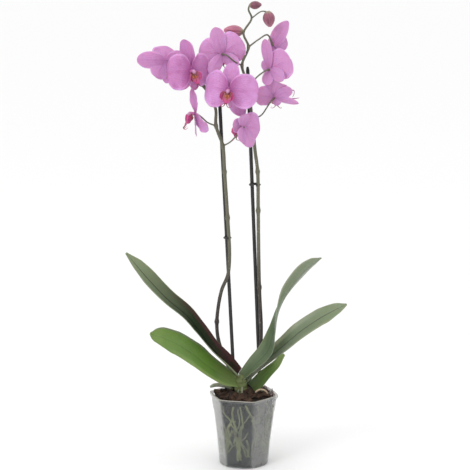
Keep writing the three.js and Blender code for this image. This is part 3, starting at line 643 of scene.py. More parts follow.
def bark_material(name, light, dark):
    """Broken bark: lengthwise grain with dark damp faces."""
    material, nodes, shader = new_material(name, 0.85, Specular_IOR_Level=0.25)
    mottle = add_group(nodes, mottle_group(), Colour=rgb(light), Dark=rgb(dark), Size=75.0, Amount=1.0)
    grain = nodes.noise(nodes.object_coordinates((1.0, 0.25, 0.8)), 800.0, 4.0, 0.7)
    colour = nodes.mix(nodes.ramp(grain, 0.35, 0.7, 0.0, 0.75), mottle.outputs["Colour"],
                       rgb([0.45 * c for c in dark]))
    nodes.put(shader.inputs["Base Color"], colour)
    nodes.put(shader.inputs["Roughness"], nodes.ramp(grain, 0.3, 0.7, 0.95, 0.6))
    add_bump(nodes, shader, grain, 0.9, 0.0012)
    return material


# How far below the pot's top, in metres, the pale rim and the denser band under it fade in.
RIM_EDGE = (0.0014, 0.0005)
RIM_FOOT = (0.0056, 0.0048)


def pot_material():
    """Clear smoky plastic: cloudy mist with beads and runs in it, frosted facets and a pale rim."""
    settings = bpy.context.scene.orchid_pot
    material, nodes, shader = new_material("Pot_plastic", 0.3, Specular_IOR_Level=0.45, Coat_Weight=0.15,
                                           Coat_Roughness=0.12, IOR=1.49)
    place = nodes.object_coordinates()
    frost = nodes.attribute("frost")
    cloud = nodes.noise(place, 34.0, 5.0, 0.62)
    drops = nodes.add("ShaderNodeTexVoronoi", {"Scale": 420.0, "Randomness": 1.0}, feature="SMOOTH_F1")
    nodes.put(drops.inputs["Vector"], place)
    beads = nodes.ramp(drops.outputs["Distance"], 0.34, 0.16)
    streaks = nodes.noise(nodes.object_coordinates((1.0, 1.0, 0.12)), 130.0, 3.0, 0.6)
    height = nodes.add("ShaderNodeSeparateXYZ")
    nodes.put(height.inputs[0], place)
    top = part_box("pot")[1][2]
    rim_start, rim_end = (top - drop for drop in RIM_EDGE)
    rim = nodes.ramp(height.outputs["Z"], rim_start, rim_end)
    band_start, band_end = (top - drop for drop in RIM_FOOT)
    band = nodes.ramp(height.outputs["Z"], band_start, band_end, 0.0, 0.12)
    smoke = rgb([0.75 * c for c in settings.colour])
    colour = nodes.mix(nodes.ramp(cloud, 0.35, 0.7), rgb(settings.colour), smoke)
    colour = nodes.mix(frost, colour, rgb(settings.frost_colour))
    colour = nodes.mix(rim, colour, rgb(settings.rim_colour))
    nodes.put(shader.inputs["Base Color"], colour)
    mist = nodes.ramp(cloud, 0.3, 0.72, settings.mist - 0.1, settings.mist + 0.1)
    mist = nodes.math("ADD", mist, nodes.math("MULTIPLY", beads, 0.02))
    mist = nodes.math("SUBTRACT", mist, nodes.ramp(streaks, 0.55, 0.7, 0.0, 0.08))
    mist = nodes.math("ADD", mist, nodes.math("MULTIPLY", frost, 0.35))
    mist = nodes.math("ADD", mist, band)
    solid_rim = nodes.math("MULTIPLY", rim, 0.75)
    nodes.put(shader.inputs["Alpha"], nodes.math("MAXIMUM", mist, solid_rim, clamp=True))
    nodes.put(shader.inputs["Roughness"], nodes.ramp(cloud, 0.3, 0.7, 0.2, 0.4))
    add_bump(nodes, shader, streaks, 0.15, 0.0003)
    return material


def plastic_material(name, colour, roughness, bump):
    """Moulded or coated plastic with faint scuffs."""
    material, nodes, shader = new_material(name, roughness, Specular_IOR_Level=0.5)
    mottle = add_group(nodes, mottle_group(), Colour=rgb(colour), Dark=rgb([1.9 * c + 0.01 for c in colour]),
                       Size=70.0, Amount=0.6)
    nodes.put(shader.inputs["Base Color"], mottle.outputs["Colour"])
    wear = nodes.ramp(mottle.outputs["Fine"], 0.3, 0.7, roughness - 0.08, roughness + 0.12)
    nodes.put(shader.inputs["Roughness"], wear)
    add_bump(nodes, shader, mottle.outputs["Fine"], bump, 0.0003)
    return material


def bud_material(name, skin):
    """Dusky pink bud skin with ribs that run from stalk to tip and a greenish foot."""
    material, nodes, shader = new_material(name, 0.48, Subsurface_Weight=0.2, Subsurface_Scale=0.004,
                                           Sheen_Weight=0.2)
    along, turn = nodes.attribute("along"), nodes.attribute("turn")
    folds = nodes.combine(nodes.math("MULTIPLY", turn, 22.0), nodes.math("MULTIPLY", along, 2.0), 0.0)
    ribs = nodes.noise(folds, 1.0, 2.0, 0.5)
    colour = nodes.mix(nodes.ramp(ribs, 0.35, 0.7), rgb(skin), rgb([0.6 * c for c in skin]))
    colour = nodes.mix(nodes.ramp(along, 0.22, 0.0, 0.0, 0.7), colour, (0.3, 0.3, 0.16, 1))
    colour = nodes.mix(nodes.ramp(along, 0.6, 1.0, 0.0, 0.4), colour, rgb([1.6 * c + 0.05 for c in skin]))
    nodes.put(shader.inputs["Base Color"], colour)
    add_bump(nodes, shader, ribs, 0.5, 0.0008)
    return material


# ---------------------------------------------------------------- geometry node trees


GEOMETRY, WHOLE, THING, PAINT = ("NodeSocketGeometry", "NodeSocketInt", "NodeSocketObject",
                                 "NodeSocketMaterial")


def shape_tree(name, inputs):
    """A geometry node tree with the given named inputs and one mesh as its output."""
    tree = bpy.data.node_groups.new(name, "GeometryNodeTree")
    for label, kind in inputs:
        tree.interface.new_socket(label, in_out="INPUT", socket_type=kind)
    tree.interface.new_socket("Mesh", in_out="OUTPUT", socket_type=GEOMETRY)
    return Nodes(tree), tree.nodes.new("NodeGroupInput"), tree.nodes.new("NodeGroupOutput")


def end_tree(nodes, geometry, given, result):
    """Ends a tree: real faces instead of copies, in the given material."""
    whole = nodes.add("GeometryNodeRealizeInstances")
    nodes.put(whole.inputs["Geometry"], geometry)
    painted = nodes.add("GeometryNodeSetMaterial")
    nodes.put(painted.inputs["Geometry"], whole.outputs["Geometry"])
    nodes.put(painted.inputs["Material"], given.outputs["Material"])
    nodes.put(result.inputs["Mesh"], painted.outputs["Geometry"])
    return nodes.tree


def stem_tree():
    """Turns rows of curve points into closed round stems whose thickness varies a little."""
    if "Stem" in bpy.data.node_groups:
        return bpy.data.node_groups["Stem"]
    nodes, given, result = shape_tree("Stem", [("Curve", GEOMETRY), ("Sides", WHOLE), ("Step", FLOAT),
                                               ("Unevenness", FLOAT), ("Material", PAINT)])
    even = nodes.add("GeometryNodeResampleCurve", mode="LENGTH")
    nodes.put(even.inputs["Curve"], given.outputs["Curve"])
    nodes.put(even.inputs["Length"], given.outputs["Step"])
    lumps = nodes.add("ShaderNodeTexNoise", {"Scale": 90.0, "Detail": 2.0})
    nodes.put(lumps.inputs["Vector"], nodes.add("GeometryNodeInputPosition").outputs[0])
    wobble = nodes.math("MULTIPLY", nodes.math("SUBTRACT", lumps.outputs["Fac"], 0.5),
                        given.outputs["Unevenness"])
    radius = nodes.math("MULTIPLY", nodes.add("GeometryNodeInputRadius").outputs[0],
                        nodes.math("ADD", wobble, 1.0))
    sized = nodes.add("GeometryNodeSetCurveRadius")
    nodes.put(sized.inputs["Curve"], even.outputs["Curve"])
    nodes.put(sized.inputs["Radius"], radius)
    section = nodes.add("GeometryNodeCurvePrimitiveCircle", {"Radius": 1.0})
    nodes.put(section.inputs["Resolution"], given.outputs["Sides"])
    skin = nodes.add("GeometryNodeCurveToMesh", {"Fill Caps": True})
    nodes.put(skin.inputs["Curve"], sized.outputs["Curve"])
    nodes.put(skin.inputs["Profile Curve"], section.outputs["Curve"])
    nodes.put(skin.inputs["Scale"], nodes.add("GeometryNodeInputRadius").outputs[0])
    smooth_faces = nodes.add("GeometryNodeSetShadeSmooth")
    nodes.put(smooth_faces.inputs["Geometry"], skin.outputs["Mesh"])
    return end_tree(nodes, smooth_faces.outputs["Geometry"], given, result)


def apply_tree(source, tree, inputs, name):
    """Runs a geometry node tree on the source object and keeps the result as a plain mesh piece."""
    modifier = source.modifiers.new("Shape", "NODES")
    modifier.node_group = tree
    for item in tree.interface.items_tree:
        if item.item_type == "SOCKET" and item.in_out == "INPUT" and item.name in inputs:
            modifier[item.identifier] = inputs[item.name]
    evaluated = source.evaluated_get(bpy.context.evaluated_depsgraph_get())
    mesh = bpy.data.meshes.new_from_object(evaluated)
    source.modifiers.clear()
    bpy.data.objects.remove(source)
    mesh.name = name
    piece = bpy.data.objects.new(name, mesh)
    bpy.context.scene.collection.objects.link(piece)
    if not mesh.polygons:
        raise RuntimeError(f"{name} has no faces")
    return piece


def stem_piece(name, strands, material, sides=12, step=0.002, unevenness=0.1):
    """One piece from several strands, each a list of points and radii in millimetres."""
    curve = bpy.data.curves.new(name + "_path", "CURVE")
    curve.dimensions = "3D"
    for points, radii in strands:
        spline = curve.splines.new("POLY")
        spline.points.add(len(points) - 1)
        for target, point, radius in zip(spline.points, points, radii):
            target.co = (*(MM * c for c in point), 1.0)
            target.radius = MM * radius
    source = bpy.data.objects.new(name + "_path", curve)
    bpy.context.scene.collection.objects.link(source)
    inputs = {"Sides": sides, "Step": step, "Unevenness": unevenness, "Material": material}
    return apply_tree(source, stem_tree(), inputs, name)


def tapered(points, radii, count):
    """Even points along a curve, and a radius for each that follows the row of radii."""
    places = curve_points(points, count)
    keys = np.linspace(0, 1, len(radii))
    sizes = np.interp(np.linspace(0, 1, count + 1), keys, radii)
    return places, sizes


# How far a chip tips over, and nearly a whole turn, in radians.
CHIP_TIP, FULL_TURN = 0.7, 6.28


def scatter_tree():
    """Scatters chips over a surface, each turned and sized at random from a fixed seed."""
    if "Chips" in bpy.data.node_groups:
        return bpy.data.node_groups["Chips"]
    nodes, given, result = shape_tree("Chips", [
        ("Surface", GEOMETRY), ("Chip", THING), ("Density", FLOAT), ("Smallest", FLOAT), ("Largest", FLOAT),
        ("Seed", WHOLE), ("Material", PAINT)])
    points = nodes.add("GeometryNodeDistributePointsOnFaces")
    nodes.put(points.inputs["Mesh"], given.outputs["Surface"])
    nodes.put(points.inputs["Density"], given.outputs["Density"])
    nodes.put(points.inputs["Seed"], given.outputs["Seed"])
    chip = nodes.add("GeometryNodeObjectInfo", transform_space="ORIGINAL")
    nodes.put(chip.inputs["Object"], given.outputs["Chip"])
    turn = nodes.add("FunctionNodeRandomValue", data_type="FLOAT_VECTOR")
    turn.inputs["Min"].default_value = (-CHIP_TIP, -CHIP_TIP, 0.0)
    turn.inputs["Max"].default_value = (CHIP_TIP, CHIP_TIP, FULL_TURN)
    nodes.put(turn.inputs["Seed"], given.outputs["Seed"])
    size = nodes.add("FunctionNodeRandomValue", data_type="FLOAT")
    for socket in size.inputs:
        if socket.enabled and socket.name == "Min":
            nodes.put(socket, given.outputs["Smallest"])
        if socket.enabled and socket.name == "Max":
            nodes.put(socket, given.outputs["Largest"])
    nodes.put(size.inputs["Seed"], given.outputs["Seed"])
    placed = nodes.add("GeometryNodeInstanceOnPoints")
    nodes.put(placed.inputs["Points"], points.outputs["Points"])
    nodes.put(placed.inputs["Instance"], chip.outputs["Geometry"])
    nodes.put(placed.inputs["Rotation"], turn.outputs[0])
    sizes = [socket for socket in size.outputs if socket.enabled]
    nodes.put(placed.inputs["Scale"], sizes[0])
    return end_tree(nodes, placed.outputs["Instances"], given, result)


# ---------------------------------------------------------------- pot and bark

POT = {"height": 120, "base": 41, "corner": 57.5, "turn": -13.5, "rim_out": 3, "rim_height": 5,
       "step_drop": 28, "step": 0.8, "floor": 2, "drain_circle": 25, "drain_radius": 3.5}
DRAIN_COUNT = 6
POT_SIDES = 144

# The pot's section: how far it is from round to six-cornered, by which share of its height, how wide
# its round part is, and how much is taken off each corner within which angle.
SQUARENESS, SQUARE_BY, ROUND_SHARE = 0.86, 0.85, 0.955
CORNER_CUT, CORNER_REACH = 1.4, 0.07

# The two frosted facets: from which angle to which, in degrees, how soft their edges are and how
# frosted they are. The left one is counted clockwise from +X and the right one anticlockwise.
FROST_LEFT = {"start": 133.5, "end": 197, "soft": 5, "amount": 1.0}
FROST_RIGHT = {"start": 286.5, "end": 346, "soft": 4, "amount": 0.55}

# The heap of bark: how far its edge is under the pot's top, how far its middle rises above that, how
# quickly it falls away and how lumpy it is.
HEAP_DROP, HEAP_RISE, HEAP_FALL, HEAP_LUMP = 2.6, 3.5, 0.7, 1.4
HEAP_SHARES = (0.985, 0.93, 0.85, 0.75, 0.64, 0.52, 0.4, 0.28, 0.16, 0.05)

# The root ball's side: its lowest ring, where its rings stop, their step and its gap to the wall.
CORE_FROM, CORE_TO, CORE_STEP = 3, 104, 2.5
CORE_ROOM = 3.6
CORE_SIDES = 96


def pot_outline(angle, height, inset):
    """Radius of the pot at an angle and a height: round at the base, six-cornered at the top."""
    part = min(max(height / POT["height"], 0), 1)
    sector = math.pi / 3
    turned = (angle - math.radians(POT["turn"])) % sector
    corner = POT["base"] + (POT["corner"] - POT["base"]) * part
    flat = corner * math.cos(sector / 2) / math.cos(turned - sector / 2)
    near = min(turned, sector - turned)
    flat -= CORNER_CUT * max(0.0, 1 - near / CORNER_REACH) ** 2
    round_radius = POT["base"] + (POT["corner"] * ROUND_SHARE - POT["base"]) * part
    squareness = SQUARENESS * float(smooth(0, SQUARE_BY, part))
    return round_radius + (flat - round_radius) * squareness - inset


def pot_ring(height, inset, sides=POT_SIDES):
    """One ring of points round the pot, moved in from its outside by the inset."""
    ring = []
    for k in range(sides):
        angle = math.radians(POT["turn"]) + 2 * math.pi * k / sides
        radius = pot_outline(angle, height, inset)
        ring.append((radius * math.cos(angle), radius * math.sin(angle), height))
    return ring


def pot_shell(wall):
    """The pot's wall from the outer base up over the turned rim and down to the inner floor."""
    top, floor, step = POT["height"], POT["floor"], POT["height"] - POT["step_drop"]
    under_rim = top - POT["rim_height"]
    profile = [(0.0, 2.4), (0.25, 1.2), (0.9, 0.35), (2.0, 0.0)]
    profile += [(height, 0.0) for height in range(8, int(step) - 2, 8)]
    profile += [(step - 1.6, 0), (step - 0.8, -0.1), (step, -0.7), (step + 0.9, -POT["step"])]
    profile += [(under_rim - 6, -POT["step"]), (under_rim - 0.9, -POT["step"]), (under_rim - 0.2, -1.1),
                (under_rim + 0.2, -POT["rim_out"] + 0.3), (under_rim + 0.9, -POT["rim_out"]),
                (top - 0.7, -POT["rim_out"]), (top - 0.15, -POT["rim_out"] + 0.4),
                (top, -POT["rim_out"] + 0.9),
                (top - 0.1, wall - POT["step"] - 0.5), (top - 0.8, wall - POT["step"])]
    profile += [(step + 1, wall - POT["step"]), (step, wall)]
    profile += [(height, wall) for height in range(int(step) - 8, 4, -8)]
    profile += [(floor + 0.8, wall + 0.3), (floor, wall + 1.2)]
    return [pot_ring(height, inset) for height, inset in profile]


def facet_mask(turns, facet):
    """1 over one facet of the pot and 0 elsewhere, with soft edges."""
    start, end, soft = facet["start"], facet["end"], facet["soft"]
    inside = smooth(start - soft, start + soft, turns) * smooth(end + soft, end - soft, turns)
    return facet["amount"] * inside


def drain_cutters(material):
    """Six short rods where the holes in the pot's floor go."""
    cutters = Skin()
    for k in range(DRAIN_COUNT):
        angle = 2 * math.pi * (k + 0.5) / DRAIN_COUNT
        centre = np.array((POT["drain_circle"] * math.cos(angle), POT["drain_circle"] * math.sin(angle), 0))
        points = np.array([centre + (0, 0, -3), centre + (0, 0, 6)])
        cutters.add_rings(tube_rings(points, [POT["drain_radius"]] * 2, 24), {})
    return cutters.build("drain_cutters", material)


class ORCHID_OT_pot(bpy.types.Operator):
    """Builds the clear six-cornered pot with its drain holes"""

    bl_idname = "orchid.pot"
    bl_label = "Pot"

    def execute(self, context):
        wall = context.scene.orchid_pot.wall / MM
        skin = Skin()
        rings = np.array(pot_shell(wall))
        turns = np.degrees(np.arctan2(rings[:, :, 1], rings[:, :, 0])) % 360
        frost = np.maximum(facet_mask(360 - turns, FROST_LEFT), facet_mask(turns, FROST_RIGHT))
        skin.add_rings(rings, {"frost": frost})
        pot = skin.build("pot_shell", pot_material())
        holes = drain_cutters(pot.data.materials[0])
        cut = pot.modifiers.new("Drain", "BOOLEAN")
        cut.operation = "DIFFERENCE"
        cut.object = holes
        cut.solver = "EXACT"
        mesh = bpy.data.meshes.new_from_object(pot.evaluated_get(context.evaluated_depsgraph_get()))
        pot.modifiers.clear()
        pot.data = mesh
        bpy.data.objects.remove(holes)
        finish_piece(pot, "pot", "pot")
        return {"FINISHED"}


def medium_top(x, y):
    """Height of the bark heap: highest in the middle, lumpy all over."""
    reach = math.hypot(x, y) / POT["base"]
    lump = math.sin(x * 0.21 + 1) * math.cos(y * 0.24) + 0.6 * math.sin(x * 0.11 - y * 0.17)
    rise = HEAP_RISE * max(0, 1 - reach * reach * HEAP_FALL)
    return POT["height"] - HEAP_DROP + rise + HEAP_LUMP * lump


def heap_rings(inset, sides, lift=0.0):
    """Rings that close in over the heap of bark, from the wall to the middle."""
    shoulder = pot_ring(POT["height"] - 14, inset, sides)
    rings = []
    for part in HEAP_SHARES:
        rings.append([(x * part, y * part, medium_top(x * part, y * part) + lift) for x, y, _ in shoulder])
    return rings


def lumpy_ring(height, inset):
    """A ring of the root ball's side, pushed in and out where chips and hollows lie."""
    ring = []
    for x, y, z in pot_ring(height, inset, CORE_SIDES):
        broad = noise.noise(Vector((x * 0.11, y * 0.11, z * 0.13)))
        lump = broad + 0.5 * noise.noise(Vector((x, y, z)) * 0.31)
        scale = 1 + 1.6 * lump / math.hypot(x, y)
        ring.append((x * scale, y * scale, z))
    return ring


# Loose bark: the sides of one piece in metres, how many lie on a square metre, the smallest and
# largest of them as a share of that one, how light they are and their seed.
CHIP_KINDS = {
    "bark_chips": {"sizes": (0.021, 0.013, 0.0075), "density": 6200, "smallest": 0.45, "largest": 1.1,
                   "tint": 1.0, "seed": 1},
    "bark_crumbs": {"sizes": (0.0055, 0.0042, 0.003), "density": 6000, "smallest": 0.5, "largest": 1.3,
                    "tint": 1.3, "seed": 2},
}


def chip_shape(name, seed, sizes):
    """A small broken flake of bark: a box with its corners pulled about and its edges cut."""
    rng = random.Random(seed)
    mesh = bmesh.new()
    bmesh.ops.create_cube(mesh, size=1.0)
    for vertex in mesh.verts:
        vertex.co = Vector([c * rng.uniform(0.7, 1.15) for c in vertex.co])
    bmesh.ops.bevel(mesh, geom=mesh.edges[:], offset=0.09, segments=1, affect="EDGES")
    for vertex in mesh.verts:
        vertex.co = Vector([c * s for c, s in zip(vertex.co, sizes)])
    data = bpy.data.meshes.new(name)
    mesh.to_mesh(data)
    mesh.free()
    piece = bpy.data.objects.new(name, data)
    bpy.context.scene.collection.objects.link(piece)
    return piece


# The moss: how many strands, between which angles in degrees and how far out they start, how high,
# and how thick they are.
MOSS_COUNT = 90
MOSS_FROM, MOSS_TO = -22, 72
MOSS_REACH = (37, 52)
MOSS_HEIGHT = (114, 119)
MOSS_RADIUS = (0.5, 0.9)
MOSS_STEP = 2.0
MOSS_ROOM = 3.5


def moss_strand(rng):
    """Points and radii of one curly strand of the moss tuft at the right of the pot's mouth."""
    angle = math.radians(rng.uniform(MOSS_FROM, MOSS_TO))
    reach = rng.uniform(*MOSS_REACH)
    point = np.array((reach * math.cos(angle), reach * math.sin(angle), rng.uniform(*MOSS_HEIGHT)))
    heading = np.array((rng.uniform(-1, 1), rng.uniform(-1, 1), rng.uniform(0.6, 1.4)))
    points = [point]
    for _ in range(rng.randint(3, 6)):
        heading = heading + np.array([rng.uniform(-1.1, 1.1) for _ in range(3)])
        point = point + MOSS_STEP * unit(heading)
        edge = pot_outline(math.atan2(point[1], point[0]), POT["height"], MOSS_ROOM)
        away = math.hypot(point[0], point[1])
        if away > edge:
            point = point * (edge / away, edge / away, 1)
        points.append(point)
    return points, [rng.uniform(*MOSS_RADIUS)] * len(points)


class ORCHID_OT_bark(bpy.types.Operator):
    """Builds the root ball, scatters bark chips and crumbs over its top and adds the moss"""

    bl_idname = "orchid.bark"
    bl_label = "Bark Medium"

    def execute(self, context):
        settings = context.scene.orchid_pot
        light, dark = tuple(settings.bark_light), tuple(settings.bark_dark)
        inset = settings.wall / MM + 0.6
        rings = [lumpy_ring(height, inset + CORE_ROOM) for height in np.arange(CORE_FROM, CORE_TO, CORE_STEP)]
        skin = Skin()
        skin.add_rings(rings + heap_rings(inset + 1, CORE_SIDES), {})
        core_paint = bark_material("Bark_core", [1.2 * c for c in dark], [0.6 * c for c in dark])
        finish_piece(skin.build("bark_body", core_paint), "bark", "bark_medium")
        self.scatter(light, dark, inset)
        self.moss()
        return {"FINISHED"}

    def scatter(self, light, dark, inset):
        """Lays chips and crumbs of bark over the heap."""
        top = Skin()
        top.add_rings(heap_rings(inset + 3.5, 48, 1.5), {})
        for name, kind in CHIP_KINDS.items():
            ground = top.build(name + "_ground", bpy.data.materials["Bark_core"])
            chip = chip_shape(name + "_one", kind["seed"], kind["sizes"])
            paint = bark_material(name.title() + "_bark", [kind["tint"] * c for c in light], dark)
            inputs = {"Chip": chip, "Density": kind["density"], "Smallest": kind["smallest"],
                      "Largest": kind["largest"], "Seed": kind["seed"], "Material": paint}
            piece = apply_tree(ground, scatter_tree(), inputs, name)
            bpy.data.objects.remove(chip)
            finish_piece(piece, "bark")

    def moss(self):
        """Lays a tuft of curly strands on the heap."""
        paint = root_material("Moss_strands", (0.3, 0.23, 0.22), (0.12, 0.09, 0.08))
        rng = random.Random(SEED + 7)
        strands = [moss_strand(rng) for _ in range(MOSS_COUNT)]
        finish_piece(stem_piece("bark_moss", strands, paint, 6, 0.002, 0.1), "bark")


# ---------------------------------------------------------------- roots


# The roots behind the clear wall: how many, how thick, between which heights they start and end, and
# how far in from the pot's outside they lie, which is the wall and a small gap.
WALL_ROOT_COUNT = 96
WALL_ROOT_RADIUS = (0.9, 2.1)
WALL_ROOT_TOP = (45, 112)
WALL_ROOT_FOOT = (4, 45)
WALL_ROOT_STEP = 2.6
WALL_ROOT_ROOM = 1.3 + 0.25


def wall_strand(rng, start_angle, high, low):
    """Points of a root that wanders down the inside of the pot's wall, and its radii."""
    points, radii = [], []
    radius = rng.uniform(*WALL_ROOT_RADIUS)
    angle, height = math.radians(start_angle), high
    heading = rng.uniform(-0.25, 0.25)
    while height > low:
        reach = pot_outline(angle, height, WALL_ROOT_ROOM + radius)
        points.append((reach * math.cos(angle), reach * math.sin(angle), height))
        radii.append(radius * rng.uniform(0.9, 1.1))
        heading += rng.uniform(-0.4, 0.4) - 0.15 * heading
        angle += 0.055 * heading
        height -= WALL_ROOT_STEP * rng.uniform(0.55, 1.1)
    radii[-1] *= 0.4
    return points, radii


class ORCHID_OT_roots(bpy.types.Operator):
    """Builds the aerial roots and the roots that press against the pot's wall"""

    bl_idname = "orchid.roots"
    bl_label = "Roots"

    def execute(self, context):
        settings = context.scene.orchid_stems
        silver = root_material("Silver_root", settings.root_colour, [0.62 * c for c in settings.root_colour])
        tan = root_material("Tan_root", (0.5, 0.4, 0.27), (0.28, 0.2, 0.12))
        for name, (radius, points) in ROOTS.items():
            paint = tan if name == "aerial_root_2" else silver
            sizes = [radius * 0.9, radius, radius, radius, radius * 0.95, radius * 0.55]
            places, radii = tapered(points, sizes, 14 * (len(points) - 1))
            piece = stem_piece(name + "_skin", [(places, radii)], paint, 14, 0.0012, 0.22)
            finish_piece(piece, "root", name)
        rng = random.Random(SEED)
        strands = []
        for k in range(WALL_ROOT_COUNT):
            angle = 360 * k / WALL_ROOT_COUNT + rng.uniform(-8, 8)
            high, low = rng.uniform(*WALL_ROOT_TOP), rng.uniform(*WALL_ROOT_FOOT)
            strands.append(wall_strand(rng, angle, high, low))
        green = root_material("Wall_root", (0.34, 0.37, 0.16), (0.15, 0.18, 0.07))
        piece = stem_piece("wall_root_net", strands, green, 8, 0.002, 0.3)
        finish_piece(piece, "root", "wall_root_1", "wall_root_2", "wall_root_3")
        return {"FINISHED"}


# ---------------------------------------------------------------- crown and leaves


# The crown's radii from its foot to its top, each at a share of its height, and how its ribs swell.
CROWN_SHARES, CROWN_RADII = [0, 0.2, 0.5, 0.8, 1], [8, 10.5, 10.5, 9.5, 5]
CROWN_ROWS, CROWN_SIDES = 40, 40
CROWN_RIB, CROWN_RIB_PACE = 0.05, 0.9


class ORCHID_OT_crown(bpy.types.Operator):
    """Builds the short fleshy stem that carries the leaves"""

    bl_idname = "orchid.crown"
    bl_label = "Crown"

    def execute(self, context):
        low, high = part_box("crown")
        x, y = (low[0] + high[0]) / 2 / MM, (low[1] + high[1]) / 2 / MM
        route = [(x, y, low[2] / MM), (x, y, 126), (x, y, 140), (x - 1, y, high[2] / MM)]
        places = np.linspace(0, 1, CROWN_ROWS + 1)
        radii = np.interp(places, CROWN_SHARES, CROWN_RADII)
        waves = [1 + CROWN_RIB * math.sin(row * CROWN_RIB_PACE) for row in range(CROWN_ROWS + 1)]
        ribs = [radius * wave for radius, wave in zip(radii, waves)]
        skin = Skin()
        rings = tube_rings(curve_points(route, CROWN_ROWS), ribs, CROWN_SIDES)
        skin.add_rings(rings, {"along": np.repeat(places, CROWN_SIDES)})
        paint = root_material("Crown_skin", context.scene.orchid_leaves.crown_colour, (0.22, 0.26, 0.1))
        finish_piece(skin.build("crown_stem", paint), "crown", "crown")
        return {"FINISHED"}


# Each leaf's colours: upper face, a pale colour for the painted sheen, the painted light towards the tip, the
# back and the margin, flushed base with its strength, the pale strip of painted sheen with its side, width
# and colour, how dark the painted shade in the midrib is, and the gloss.
LEAF_FINISH = {
    # Leaf_1's near-black upper face is painted shade: its folded lower half lies in shadow.
    "leaf_1": ((0.009, 0.02, 0.005), (0.27, 0.33, 0.19), (0.04, 0.015, 0.016, 1.0),
               (-1, 0.34, (0.28, 0.33, 0.21)), 0.75, 0.12),
    "leaf_2": ((0.105, 0.21, 0.03), (0.16, 0.25, 0.055), (0.17, 0.23, 0.075, 0.8),
               (1, 0.2, (0.17, 0.2, 0.13)), 0.2, 0.4),
    "leaf_3": ((0.08, 0.13, 0.055), (0.24, 0.29, 0.18), (0.12, 0.15, 0.07, 0.4),
               (1, 0.16, (0.28, 0.32, 0.22)), 0.5, 0.5),
    "leaf_4": ((0.15, 0.195, 0.11), (0.2, 0.25, 0.135), (0.27, 0.3, 0.2, 1.0),
               (1, 0.3, (0.23, 0.28, 0.16)), 0.9, 0.5),
    "leaf_5": ((0.09, 0.165, 0.035), (0.18, 0.24, 0.08), (0.08, 0.11, 0.04, 0.7),
               (-1, 0.12, (0.2, 0.25, 0.13)), 0.3, 0.35),
}
LEAF_ROWS, LEAF_COLUMNS = 96, 26


def leaf_skin(stations, thickness):
    """A strap leaf from its stations: folded along a sunk midrib, with a slightly wavy edge."""
    places = np.linspace(0, 1, LEAF_ROWS + 1)
    spine = [station[0] for station in stations]
    centres = curve_points(spine, LEAF_ROWS)
    faces = curve_points([station[2] for station in stations], LEAF_ROWS)
    shapes = curve_points([(station[1], station[3], 0) for station in stations], LEAF_ROWS)
    normals, acrosses = [], []
    for row in range(LEAF_ROWS + 1):
        along = unit(centres[min(row + 1, LEAF_ROWS)] - centres[max(row - 1, 0)])
        normal = unit(faces[row] - along * np.dot(faces[row], along))
        normals.append(normal)
        acrosses.append(np.cross(along, normal))
    halves = np.maximum(shapes[:, 0], 0.8)

    def rise(row, spread):
        half, fold = halves[row], shapes[row, 1]
        groove = -0.55 * np.exp(-(spread / 0.09) ** 2)
        wave = 0.35 * np.abs(spread) ** 3 * math.sin(places[row] * 23 + 1) * min(1, half / 10)
        ribs = 0.06 * np.cos(spread * 40)
        return fold * half * spread ** 2 + groove + wave + ribs

    def thick(row, spread):
        body = thickness * (1.15 - 0.55 * places[row])
        return body * (1 - 0.75 * spread ** 2) + 0.5 * np.exp(-(spread / 0.12) ** 2)

    rings, across, under = blade_rings(centres, acrosses, normals, halves, rise, thick, LEAF_COLUMNS)
    skin = Skin()
    along_values = np.repeat(places[:, None], rings.shape[1], axis=1)
    skin.add_rings(rings, {"across": across, "along": along_values, "under": under})
    return skin


class ORCHID_OT_leaves(bpy.types.Operator):
    """Builds the strap leaves"""

    bl_idname = "orchid.leaves"
    bl_label = "Leaves"

    def execute(self, context):
        thickness = context.scene.orchid_leaves.thickness / MM
        for name, stations in LEAVES.items():
            paint = leaf_material(name.title() + "_tissue", *LEAF_FINISH[name])
            finish_piece(leaf_skin(stations, thickness).build(name + "_blade", paint), "leaf", name)
        return {"FINISHED"}


# ---------------------------------------------------------------- spikes, stakes, clips and buds


# A bract: its rows, their step, how far below the joint it starts, how it flares, how far it clasps
# round the stem and its thickness.
BRACT_ROWS, BRACT_STEP, BRACT_DROP = 8, 0.8, 1.5
BRACT_FLARE, BRACT_CLASP, BRACT_THICK = 0.03, 1.1, 0.35


def swell(points, radii, joints, amount=0.45, reach=3.2):
    """Thickens a stem around each of its joints."""
    radii = np.array(radii, dtype=float)
    for joint in joints:
        distance = np.linalg.norm(points - np.array(joint, dtype=float), axis=1)
        radii *= 1 + amount * np.exp(-(distance / reach) ** 2)
    return radii


